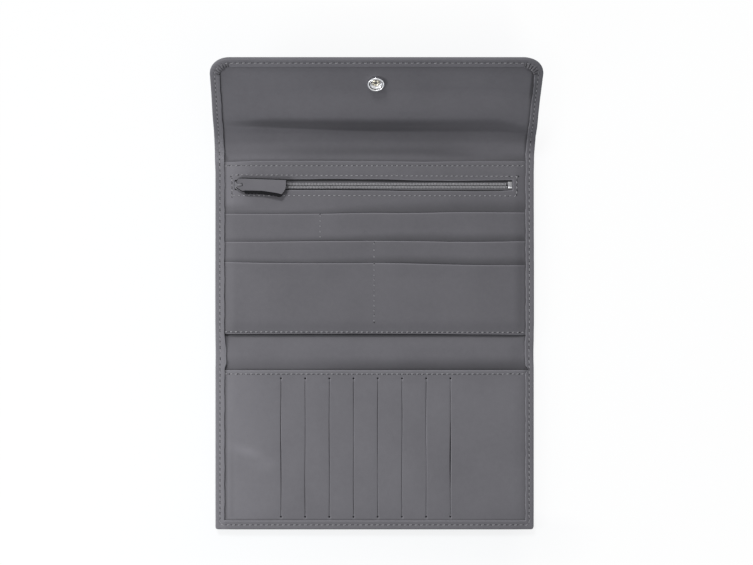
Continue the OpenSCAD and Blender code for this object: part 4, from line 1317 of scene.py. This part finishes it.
# %% Running the tree
def set_out(name, paths, ups, pitch, shape, finish, seed, wander):
    """Runs the tree on open lines of points and returns one plain mesh object."""
    points, edges, up = [], [], []
    for line, line_up in zip(paths, ups):
        base = len(points)
        points += [tuple(p) for p in line]
        up += [tuple(x) for x in line_up]
        edges += [(base + i, base + i + 1) for i in range(len(line) - 1)]
    mesh = bpy.data.meshes.new(name + "_path")
    mesh.from_pydata(points, edges, [])
    store(mesh, "up", up)
    carrier = new_object(name + "_path", mesh)
    modifier = carrier.modifiers.new("set out", "NODES")
    modifier.node_group = SET_OUT
    values = {"Pitch": pitch * MM, "Shape": shape, "Wander": wander, "Seed": seed, "Finish": finish}
    for item in SET_OUT.interface.items_tree:
        if item.in_out == "INPUT" and item.name in values:
            modifier[item.identifier] = values[item.name]
    graph = bpy.context.evaluated_depsgraph_get()
    result = bpy.data.meshes.new_from_object(carrier.evaluated_get(graph), depsgraph=graph)
    bpy.data.objects.remove(carrier)
    result.name = name
    result.shade_smooth()
    return new_object(name, result)


def small_shape(name, points, faces, materials, material_of=None):
    """A small shape to be repeated; it is kept out of the render and removed at the end."""
    mesh = bpy.data.meshes.new(name)
    mesh.from_pydata([tuple(np.array(p) * MM) for p in points], [], faces)
    for m in materials:
        mesh.materials.append(m)
    if material_of is not None:
        mesh.polygons.foreach_set("material_index", material_of)
    tidy_normals(mesh)
    mesh.shade_smooth()
    shape = new_object(name, mesh)
    shape.hide_render = True
    return shape


def tube(rings):
    """Faces between rings of equal length, with both ends closed."""
    n = len(rings[0])
    points = [p for ring in rings for p in ring]
    faces = []
    for r in range(0, (len(rings) - 1) * n, n):
        faces += [[r + i, r + (i + 1) % n, r + n + (i + 1) % n, r + n + i] for i in range(n)]
    faces.append(list(range(n))[::-1])
    faces.append([(len(rings) - 1) * n + i for i in range(n)])
    return points, faces


def around(count):
    """Cosine and sine at equal steps round a circle."""
    return [(math.cos(a), math.sin(a)) for a in np.linspace(0, 2 * math.pi, count, endpoint=False)]


def solid(points, faces, index=0):
    """A bmesh from points and faces, its normals outwards."""
    work = bmesh.new()
    verts = [work.verts.new(p) for p in points]
    for f in faces:
        work.faces.new([verts[k] for k in f]).material_index = index
    bmesh.ops.recalc_face_normals(work, faces=work.faces)
    work.normal_update()
    return work


# %% The two rows of coils
# place along the loop, half width and height: thick at the middle of the zip and thin at the tape
LOOP = (
    (0.0, 0.26, 0.30), (0.12, 0.36, 0.62), (0.45, 0.38, 0.85), (0.9, 0.36, 0.9), (1.3, 0.34, 0.78),
    (1.62, 0.30, 0.45), (1.75, 0.16, 0.22),
)
loop_rings = [[(wide * c, y, height * (0.5 + 0.5 * s)) for c, s in around(8)] for y, wide, height in LOOP]
loop_shape = small_shape("loop_shape", *tube(loop_rings), [nylon_teeth])
COIL_PITCH = 0.95
teeth_low, teeth_high = low("zip_teeth_upper"), high("zip_teeth_upper")
for side, node in ((1, "zip_teeth_upper"), (-1, "zip_teeth_lower")):
    offset = 0.0 if side > 0 else COIL_PITCH / 2
    row_v = ZIP_V - 0.35 + side * 0.12
    path = np.array([
        (teeth_low.x + 0.6 + offset, row_v, teeth_low.z),
        (teeth_high.x - 0.5 + offset - COIL_PITCH, row_v, teeth_low.z),
    ])[::side] * MM
    row_name = node.replace("zip_teeth", "coil_row")
    row = set_out(row_name, [path], [[(0, 0, 1)] * 2], COIL_PITCH, loop_shape, nylon_teeth, 5, 0.02)
    finish_piece(row, "back", "zip_teeth", node)

# %% Metal stops of the zip
def round_rims(work, edges, radius, segments=3):
    bmesh.ops.bevel(
        work, geom=edges, offset=radius, segments=segments, profile=0.5, affect="EDGES", clamp_overlap=True
    )


def finish_mesh(name, mesh, *materials):
    mesh.shade_smooth()
    mesh.set_sharp_from_angle(angle=math.radians(40))
    for material in materials:
        mesh.materials.append(material)
    return new_object(name, mesh)


def rounded_block(name, lows, highs, radius, material):
    """A small block with rounded edges, in millimetres."""
    work = bmesh.new()
    bmesh.ops.create_cube(work, size=1.0)
    for x in work.verts:
        x.co = Vector([(lows[i] + highs[i]) / 2 + x.co[i] * (highs[i] - lows[i]) for i in range(3)])
    round_rims(work, work.edges[:], radius)
    mesh = bpy.data.meshes.new(name)
    work.to_mesh(mesh)
    work.free()
    mesh.transform(Matrix.Scale(MM, 4))
    return finish_mesh(name, mesh, material)


def repaint(node, material):
    """Gives a piece of the frame that stays as it is its material."""
    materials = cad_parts[node].data.materials
    materials.clear()
    materials.append(material)


# the end stop is one metal part made as a darker body and a bright strip along its lower side: the bright strip is a
# painted highlight
(x0, y0, _), (x1, y1, _) = low("zip_end_stop"), high("zip_end_stop")
end_stop = rounded_block("end_stop", (x0, y0, 4.02), (x1, y1, 4.9), 0.35, stop_metal_shaded)
finish_piece(end_stop, "back", "bright_metal", "zip_end_stop")
stop_highlight = rounded_block("end_stop_curl", (x0 + 0.15, y0 + 0.15, 4.3), (x1 - 0.15, y0 + 1.35, 5.2), 0.4, bright_nickel)
finish_piece(stop_highlight, "back", "bright_metal")
repaint("zip_top_stops", bright_nickel)

# %% [markdown]
# ## Slider, link and pull
# The slider is a small lacquered casting: two plates on a neck, with a bridge on top. A wire link
# holds the pull, two thicknesses of leather whose free end curls up from the wallet.


# %% Slider
def plate(outline, w0, w1, radius):
    """A flat plate with rounded rims."""
    work = bmesh.new()
    bottom, top = [[work.verts.new((x, y, w)) for x, y in outline] for w in (w0, w1)]
    n = len(outline)
    work.faces.new(bottom[::-1])
    work.faces.new(top)
    for i in range(n):
        j = (i + 1) % n
        work.faces.new([bottom[i], bottom[j], top[j], top[i]])
    work.normal_update()
    round_rims(work, work.edges[:], radius)
    return work


def join_parts(name, parts, *materials, flat=False):
    """Joins bmesh parts, in millimetres, into one piece."""
    mesh = bpy.data.meshes.new(name)
    whole = bmesh.new()
    for part in parts:
        temp = bpy.data.meshes.new("temp")
        part.to_mesh(temp)
        part.free()
        whole.from_mesh(temp)
        bpy.data.meshes.remove(temp)
    bmesh.ops.recalc_face_normals(whole, faces=whole.faces)
    whole.to_mesh(mesh)
    whole.free()
    places = np.array([v.co for v in mesh.vertices]) * MM
    if flat:
        for label, values in (("flat", places), ("edge", np.zeros(len(places))), ("shade", np.zeros(len(places)))):
            store(mesh, label, values)
    mesh.vertices.foreach_set("co", places.astype(np.float32).ravel())
    return finish_mesh(name, mesh, *materials)


NOSE, SLIDER_TOP = low("slider").x, high("slider").z
SLIDER_LEN, SLIDER_W = high("slider").x - NOSE, high("slider").y - low("slider").y
PLATE_TOP = 5.3


def box_outline(x0, x1, y0, y1):
    return [(NOSE + x0, ZIP_V + y0), (NOSE + x1, ZIP_V + y0), (NOSE + x1, ZIP_V + y1), (NOSE + x0, ZIP_V + y1)]


def slider_outline(width, front):
    half = [0.19 * width, 0.36 * width, 0.5 * width, 0.49 * width, 0.36 * width]
    xs = [front, front + 1.1, 0.34 * SLIDER_LEN, 0.62 * SLIDER_LEN, SLIDER_LEN]
    lower, upper = [[(NOSE + x, ZIP_V + side * h) for x, h in zip(xs, half)] for side in (-1, 1)]
    return lower + upper[::-1]


# place from the nose and drop below the slider's top, over the loop and inside it
LOOP_OUT = ((1.3, None), (1.32, 0.9), (1.7, 0.3), (2.4, 0.0), (3.95, 0.0), (4.5, 0.15), (4.83, 0.7), (4.85, None))
LOOP_IN = ((2.35, None), (2.37, 0.9), (2.45, 0.65), (2.65, 0.58), (3.6, 0.58), (3.8, 0.65), (3.88, 0.9), (3.9, None))


def bridge():
    """The loop on the slider's back, bent from a flat strip."""
    work = bmesh.new()
    rings = []
    for stations in zip(LOOP_OUT, LOOP_IN):
        (xo, zo), (xi, zi) = [(NOSE + x, PLATE_TOP if drop is None else SLIDER_TOP - drop) for x, drop in stations]
        corners = ((xo, -0.7, zo), (xo, 0.7, zo), (xi, 0.7, zi), (xi, -0.7, zi))
        rings.append([work.verts.new((x, ZIP_V + y, z)) for x, y, z in corners])
    for a, b in zip(rings[:-1], rings[1:]):
        for i in range(4):
            j = (i + 1) % 4
            work.faces.new([a[i], a[j], b[j], b[i]])
    work.faces.new(rings[0][::-1])
    work.faces.new(rings[-1])
    work.normal_update()
    round_rims(work, [e for e in work.edges if e.calc_face_angle(0.0) > 1.0], 0.1, 2)
    return work


slider_parts = [
    plate(slider_outline(SLIDER_W, 0.0), 5.0, 5.6, 0.22),
    plate(slider_outline(SLIDER_W * 0.78, 1.2), 3.05, 3.55, 0.12),
    plate(box_outline(1.3, 3.1, -0.18, 0.18), 3.2, PLATE_TOP, 0.03),
    plate(box_outline(1.6, 8.4, -2.1, -2.7), 4.12, PLATE_TOP, 0.08),
    plate(box_outline(1.6, 8.4, 2.1, 2.7), 4.12, PLATE_TOP, 0.08),
    bridge(),
]
finish_piece(join_parts("slider_body", slider_parts, grey_lacquer), "slider", "slider_metal", "slider")

# %% Pull of doubled leather
PIVOT_X, PIVOT_W = low("pull_link").x + 0.45, (low("pull_tab").z + high("pull_tab").z) / 2
TAB_LEN = high("pull_tab").x - low("pull_tab").x
TAB_TOP = ((-88.8, -87.5, -80.0, -56.9, -56.2), (43.7, 46.1, 45.85, 44.95, 44.2))
TAB_LOW = (
    (-88.8, -88.2, -84.8, -83.0, -72.2, -63.9, -59.4, -57.0, -56.2),
    (39.6, 38.9, 36.9, 37.25, 37.05, 35.8, 34.75, 38.5, 43.4),
)
NOTCH_END, NOTCH_HALF = NOSE + 5.1, 0.85
SHARES = (0, 0.07, 0.2, 0.33, 0.41, 0.5, 0.59, 0.66, 0.8, 0.93, 1)


def tab_row(x, inset, past):
    """Places across the pull at x, drawn aside from the notch round the slider's bridge."""
    top, bottom = np.interp(x, *TAB_TOP) - inset, np.interp(x, *TAB_LOW) + inset
    # past widens the layer below its lower edge: a black band of painted shadow
    bottom -= past * hump(x, -84.2, -82.6, -60.4, -59.0) * (1 + 0.1 * math.sin(3.1 * x))
    notch = fall(x, NOTCH_END, NOTCH_END + 6)
    half = NOTCH_HALF + 0.5 * (past > 0) * (x < NOTCH_END)
    sides = [bottom + q * (top - bottom) for q in SHARES]
    sides[4] += notch * (ZIP_V - half - sides[4])
    sides[6] += notch * (ZIP_V + half - sides[6])
    for i, q in ((1, 0.2), (2, 0.5), (3, 0.8)):
        sides[i] += notch * (bottom + q * (sides[4] - bottom) - sides[i])
        sides[i + 6] += notch * (sides[6] + q * (top - sides[6]) - sides[i + 6])
    sides[5] = (sides[4] + sides[6]) / 2
    return sides


def tab_layer(w0, w1, inset, past=0.0):
    """One layer of the pull, notched round the slider's bridge; past is how far it stands out below, as a black band of
    painted shadow.
    """
    x0, x1 = TAB_TOP[0][0] + inset, TAB_TOP[0][-1] - inset
    rows = np.concatenate([
        [x0, x0 + 0.3], np.linspace(x0 + 0.8, NOTCH_END, 4), np.linspace(NOTCH_END + 0.8, x1 - 3.6, 24),
        np.linspace(x1 - 3.2, x1, 9),
    ])
    work = bmesh.new()
    sides = [tab_row(x, inset, past) for x in rows]
    low_grid, top_grid = [
        [[work.verts.new((x, y, w)) for y in across] for x, across in zip(rows, sides)] for w in (w0, w1)
    ]
    cells = [(i, j) for i in range(len(rows) - 1) for j in range(len(SHARES) - 1)]
    cells = {(i, j) for i, j in cells if rows[i + 1] > NOTCH_END + 1e-6 or j not in (4, 5)}
    for i, j in cells:
        work.faces.new([top_grid[i][j], top_grid[i + 1][j], top_grid[i + 1][j + 1], top_grid[i][j + 1]])
        work.faces.new([low_grid[i][j], low_grid[i][j + 1], low_grid[i + 1][j + 1], low_grid[i + 1][j]])
        for di, dj, a, b in NEXT:
            if (i + di, j + dj) not in cells:
                (pi, pj), (qi, qj) = (i + a[0], j + a[1]), (i + b[0], j + b[1])
                work.faces.new([low_grid[pi][pj], low_grid[qi][qj], top_grid[qi][qj], top_grid[pi][pj]])
    for x in [x for x in work.verts if not x.link_faces]:
        work.verts.remove(x)
    work.normal_update()
    round_rims(work, [e for e in work.edges if e.calc_face_angle(0.0) > 1.2], 0.12, 2)
    for x in work.verts:
        along, across, w = x.co
        t = max(0.0, (along - PIVOT_X) / TAB_LEN)
        x.co.z = PIVOT_W + w + 1.2 * t**2 - 0.015 * (across - ZIP_V + 3.0 * t) ** 2 * min(1.0, t * 3)
    return work


tab_layers = [tab_layer(-0.68, -0.22, 0.55), tab_layer(0.22, 0.68, 0.55)]
tab = join_parts("pull_leather_tab", tab_layers, pull_leather, flat=True)
finish_piece(tab, "pull", "pocket_leather", "pull_tab")
# the middle layer's black painted edges, with a band standing out below as painted shadow
tab_edge_and_shadow = join_parts("pull_edge_paint", [tab_layer(-0.3, 0.3, 0.0, 1.6)], edge_paint_and_shadow, flat=True)
finish_piece(tab_edge_and_shadow, "pull", "pocket_leather")
repaint("pull_link", grey_lacquer)

# %% [markdown]
# ## The snap
# The socket on the flap is a turned brass part, plated bright: a rolled rim round a cup, with a ring
# of spring wire in a groove. The cap's hollow post comes through the leather, and its end is split
# and flared into petals that hold the socket. The stud and its eyelet sit in the card panel's outer face.


# %% Turned parts
def turned(profile, dull, shade_index, count=72):
    """Spins a closed profile of (radius, height) round the upright axis; dull lists the stretches given the dark
    material as painted shade.
    """
    work = bmesh.new()
    rings = [[work.verts.new((r * c, r * s, h)) for r, h in profile] for c, s in around(count)]
    n = len(profile)
    for i in range(count):
        a, b = rings[i], rings[(i + 1) % count]
        for k in range(n):
            m = (k + 1) % n
            work.faces.new([a[k], b[k], b[m], a[m]]).material_index = shade_index if k in dull else 0
    bmesh.ops.recalc_face_normals(work, faces=work.faces)
    return work


def on_flap(work, w):
    """Places a part made upright on the flap, at the snap and at level w, in millimetres."""
    seat = fold(np.array([[0.0, SNAP_V, w]]))[0] / MM
    c, s = math.cos(FLAP_ANGLE), math.sin(FLAP_ANGLE)
    for x in work.verts:
        px, py, pz = x.co
        x.co = Vector((seat[0] + px, seat[1] + py * c - pz * s, seat[2] + py * s + pz * c))
    return work


rim_turn = np.radians(np.linspace(0, 180, 13)[1:])
rim = [(4.72 + 0.53 * math.cos(a), 1.77 + 0.53 * math.sin(a)) for a in rim_turn]
socket_profile = [(1.55, 0.0), (4.95, 0.0), (5.17, 0.2), (5.24, 0.6), (5.25, 1.75), *rim]
groove = len(socket_profile) - 1
socket_profile += [
    (4.15, 1.3), (3.95, 1.2), (3.85, 1.42), (3.65, 1.55), (3.4, 1.45), (3.1, 0.95), (2.75, 0.42), (2.6, 0.36),
    (1.55, 0.34),
]
# the groove and the cup's floor get the dark material as painted shade
socket = on_flap(turned(socket_profile, (groove, groove + 1, groove + 8), 1), LINING_W)
socket = join_parts("snap_socket_ring", [socket], bright_nickel, groove_shade)
finish_piece(socket, "flap", "bright_metal", "snap_socket")

# %% Cap and split post
PETALS = 6
# radius, height and thickness along one flared tongue
PETAL = ((1.15, 0.2, 0.28), (1.2, 0.6, 0.27), (1.38, 0.9, 0.25), (1.7, 1.02, 0.23), (2.1, 0.92, 0.2), (2.4, 0.66, 0.16))


def petal(i):
    """One flared tongue of the split post: it rises out of the hole and curls outwards."""
    rings = []
    span = math.radians(360 / PETALS - 9)
    middle = 2 * math.pi * i / PETALS
    for r, h, t in PETAL:
        half = span / 2 * (1.0 if r < 1.5 else 1.0 - 0.34 * (r - 1.5))
        across = np.linspace(-half, half, 5)
        ring = [(r, a, h) for a in across] + [(r - t * 0.75, a, h - t * 0.66) for a in across[::-1]]
        rings.append([(q * math.cos(a + middle), q * math.sin(a + middle), z) for q, a, z in ring])
    return solid(*tube(rings), 1)


dome = [
    (0.001, -1.5), (1.5, -1.46), (3.0, -1.28), (4.3, -0.95), (5.3, -0.5), (5.85, -0.15), (6.0, 0.0), (5.8, 0.02),
    (1.45, 0.02), (1.45, 2.2), (1.1, 2.2), (1.1, -0.3), (0.001, -0.3),
]
# the hollow post gets the dark material as painted shade
cap_parts = [on_flap(turned(dome, (8, 9, 10, 11), 2), 0.0)]
cap_parts += [on_flap(petal(i), LINING_W - 0.12) for i in range(PETALS)]
cap = join_parts("snap_cap_and_post", cap_parts, bright_nickel, petal_brass, groove_shade)
finish_piece(cap, "flap", "bright_metal", "snap_cap")
for node in ("snap_spring", "snap_stud", "snap_eyelet"):
    repaint(node, bright_nickel)

# %% [markdown]
# ## Sewing
# Every seam is a line of lockstitches: a short fat length of thread that dives into a needle hole at
# both ends. One stitch with its two holes is modelled with a few dozen faces, and the same tree sets
# it out along each seam at the seam's own pitch. A run on a single body hangs on that body; a run
# that spans a bend stays where it is made.


# %% One stitch
def stitch_shape(name, length, radius, hole):
    rings = []
    for t in np.linspace(-1, 1, 7):
        x, y = t * length / 2, 0.10 * math.sin(t * math.pi / 2)
        z, r = radius - 0.42 * abs(t) ** 3, radius * (1.0 - 0.25 * t * t)
        rings.append([(x, y + r * c, z + 0.8 * r * s) for c, s in around(6)])
    points, faces = tube(rings)
    kinds = [0] * len(faces)
    for side in (-1, 1):
        base = len(points)
        middle = side * (length / 2 + 0.12)
        # each hole is a dark lens, painted shade of the needle hole and its dimple
        points += [(middle + 1.35 * hole * c, hole * s, 0.02) for c, s in around(8)]
        points += [(middle, 0, 0.05), (middle, 0, -0.25)]
        for i in range(8):
            j = (i + 1) % 8
            faces += [[base + i, base + j, base + 8], [base + j, base + i, base + 9]]
            kinds += [1, 1]
    return small_shape(name, points, faces, [thread_fibre, hole_and_dimple_shade], kinds)


hem_stitch = stitch_shape("hem_stitch", 2.3, 0.21, 0.33)
seam_stitch = stitch_shape("seam_stitch", 1.7, 0.26, 0.47)
divider_stitch = stitch_shape("divider_stitch", 1.5, 0.17, 0.42)
HEM_PITCH, SEAM_PITCH = 3.55, 3.2
HALF_STITCH = HEM_PITCH / 2


# %% Seams along the turned edge, inside and outside
SEAM_IN, SEAM_OUT = 3.05, 3.0


def seam_line(end, rows, d, outside):
    half, _ = half_path(end, rows, d)
    halves = [half, half[::-1] * MIRROR]
    if end is not None:
        halves = [np.vstack([half, end_row(end, d)[1:-1], halves[1]])]
    paths, ups = [], []
    for line in halves:
        line = line + np.column_stack([outline_shift(*line.T), np.zeros(len(line))])
        u, v = line[::-1].T if outside else line.T
        w = np.full_like(u, 0.10) if outside else hem_level(u, v) + HEM_T - 0.13
        paths.append(fold(np.column_stack([u, v, w])))
        ups.append(fold_up(v) * (-1 if outside else 1))
    return paths, ups


def sewn_rows(rows, start, stop):
    """Rows of a seam that begins, and may stop, half a stitch inside its length of the hide."""
    way = 1 if rows[-1] > rows[0] else -1
    first = start + way * HALF_STITCH
    inner = rows[way * (rows - first) > 0.2]
    if stop is None:
        return np.concatenate([[first], inner])
    last = stop - HALF_STITCH
    return np.concatenate([[first], inner[inner < last], [last]])


for name, rows, start, stop, end, bend in (
    ("hem_thread_front", front_rows, SPINE_MID, None, "square", FRONT_BEND),
    ("hem_thread_spine", spine_rows, SPINE_MID, BACK_MID, None, LOWER_BEND),
    ("hem_thread_back", back_rows, BACK_MID, STRIP_V, None, FOLD_BEND),
    ("hem_thread_flap", flap_rows, STRIP_V, None, "round", CREASE_BEND),
):
    rows = sewn_rows(rows, start, stop)
    inner, inner_up = seam_line(end, rows, SEAM_IN, False)
    outer, outer_up = seam_line(end, rows, SEAM_OUT, True)
    run = set_out(name, inner + outer, inner_up + outer_up, HEM_PITCH, hem_stitch, thread_fibre, 11, 0.06)
    finish_piece(run, bend, "outer_leather")


# %% Seams of the pocket block and the card panel
def flat_seam(corners, w, drape, size=2.0):
    """A seam on a leaf, through the given corners, at the leaf's top face."""
    line = []
    for (u0, v0), (u1, v1) in zip(corners[:-1], corners[1:]):
        n = max(2, int(math.hypot(u1 - u0, v1 - v0) / size))
        line += [(u0 + (u1 - u0) * i / n, v0 + (v1 - v0) * i / n) for i in range(n)]
    line.append(corners[-1])
    u, v = np.array(line).T
    height = level(np.full_like(u, w), u, v) + drape(u, v)
    return fold(np.column_stack([u, v, height + 0.66])), fold_up(v)


SEAM_HALF = HALF_W - HEM_W - 1.0
panel_w = low("zip_panel").z
pocket_w = [low(f"slip_pocket_{i}").z for i in (1, 2, 3)]
block_top_v = BLOCK_TOP - 2.1
block_seams = [
    flat_seam([(-SEAM_HALF, block_top_v), (SEAM_HALF, block_top_v)], panel_w, panel_drape),
    flat_seam([(-91.6, ZIP_V - 6.6), (-91.6, ZIP_V + 6.6), (91.6, ZIP_V + 5.6)], panel_w, panel_drape),
    flat_seam([(91.6, ZIP_V + 5.0), (91.6, ZIP_V - 6.9), (-90.4, ZIP_V - 6.6)], panel_w, panel_drape),
    flat_seam([(-SEAM_HALF, BLOCK_LOW + 3.0), (SEAM_HALF, BLOCK_LOW + 2.6)], pocket_w[2], pocket_drapes[2]),
]
divider_ends = (MOUTHS[1] + 0.6, MOUTHS[2] + 0.6, -46.0)
dividers = []
for i, sunk in enumerate((0.1, 0.1, 0.0)):
    ends = [(POCKETS[i][2], MOUTHS[i] - 0.6), (POCKETS[i][2], divider_ends[i])]
    dividers.append(flat_seam(ends, pocket_w[i] - sunk, pocket_drapes[i]))
card_top_v = MOUTH_V - 1.7
card_seams = [flat_seam([(-SEAM_HALF, card_top_v), (SEAM_HALF, card_top_v)], low("card_panel").z, card_drape)]
for name, seams, stitch, seed, wander, body in (
    ("block_thread", block_seams, seam_stitch, 17, 0.07, "back"),
    ("divider_thread", dividers, divider_stitch, 29, 0.12, "back"),
    ("card_thread", card_seams, seam_stitch, 23, 0.07, "front"),
):
    run = set_out(name, *zip(*seams), SEAM_PITCH, stitch, thread_fibre, seed, wander)
    finish_piece(run, body, "pocket_leather")
for shape in (loop_shape, hem_stitch, seam_stitch, divider_stitch):
    bpy.data.objects.remove(shape)

# %% [markdown]
# ## Floor
# A pale studio floor just below the stud. Seen by the camera it is mostly its own white, so the
# background stays white as in the photograph, and part of it is lit, so it keeps the soft shadow.
# The lit part is largest beside the wallet. Right of the wallet more of the floor's own white is
# mixed in, as painted light over the shadow there, and below the wallet less, so it is darker there as
# painted shade.

# %% Floor
FLOOR_Z = cad_box[0].z - 0.0001
floor_mesh = bpy.data.meshes.new("floor")
floor_mesh.from_pydata([(x, y, FLOOR_Z) for x, y in ((-4, -4), (4, -4), (4, 4), (-4, 4))], [], [(0, 1, 2, 3)])
floor = new_object("floor", floor_mesh)
floor_paint = bpy.data.materials.new("floor paint")
floor_paint.use_nodes = True
tree = floor_paint.node_tree
tree.nodes.clear()
where = add_node(tree, "ShaderNodeSeparateXYZ", {0: object_place(tree)}).outputs


def beyond(value, edge):
    """How far a distance goes past an edge, and 0 inside it."""
    return math_node(tree, "MAXIMUM", math_node(tree, "SUBTRACT", value, edge), 0.0)


def ramp(first, second, reach):
    """Rises from 0 to 1 as the first value passes the second by the reach."""
    return math_node(tree, "MULTIPLY", math_node(tree, "SUBTRACT", first, second), 1 / reach, clamp=True)


past_side = beyond(math_node(tree, "ABSOLUTE", where["X"]), HALF_W * MM)
past_end = beyond(math_node(tree, "ABSOLUTE", math_node(tree, "ADD", where["Y"], 0.032)), 0.1485)
reach = math_node(tree, "SQRT", weighted(tree, (past_side, past_side), (past_end, past_end)))
# the floor's own white, raised right of the wallet as painted light and lowered below it as painted shade
terms = [(ramp(reach, 0.0, 0.05), 0.13), (ramp(where["X"], 0.085, 0.02), 0.07), (ramp(-0.17, where["Y"], 0.01), -0.06)]
white_and_painted_light = math_node(tree, "MINIMUM", math_node(tree, "ADD", weighted(tree, *terms), 0.84), 0.97)
seen = add_node(tree, "ShaderNodeLightPath").outputs["Is Camera Ray"]
share = math_node(tree, "MULTIPLY", seen, white_and_painted_light)
matte = add_node(tree, "ShaderNodeBsdfDiffuse", {"Color": (0.90, 0.95, 1.0, 1)}).outputs[0]
glow = add_node(tree, "ShaderNodeEmission", {"Color": (1, 1, 1, 1), "Strength": 1.0}).outputs[0]
surface = add_node(tree, "ShaderNodeMixShader", {"Fac": share, 1: matte, 2: glow}).outputs[0]
add_node(tree, "ShaderNodeOutputMaterial", {"Surface": surface})
floor_mesh.materials.append(floor_paint)
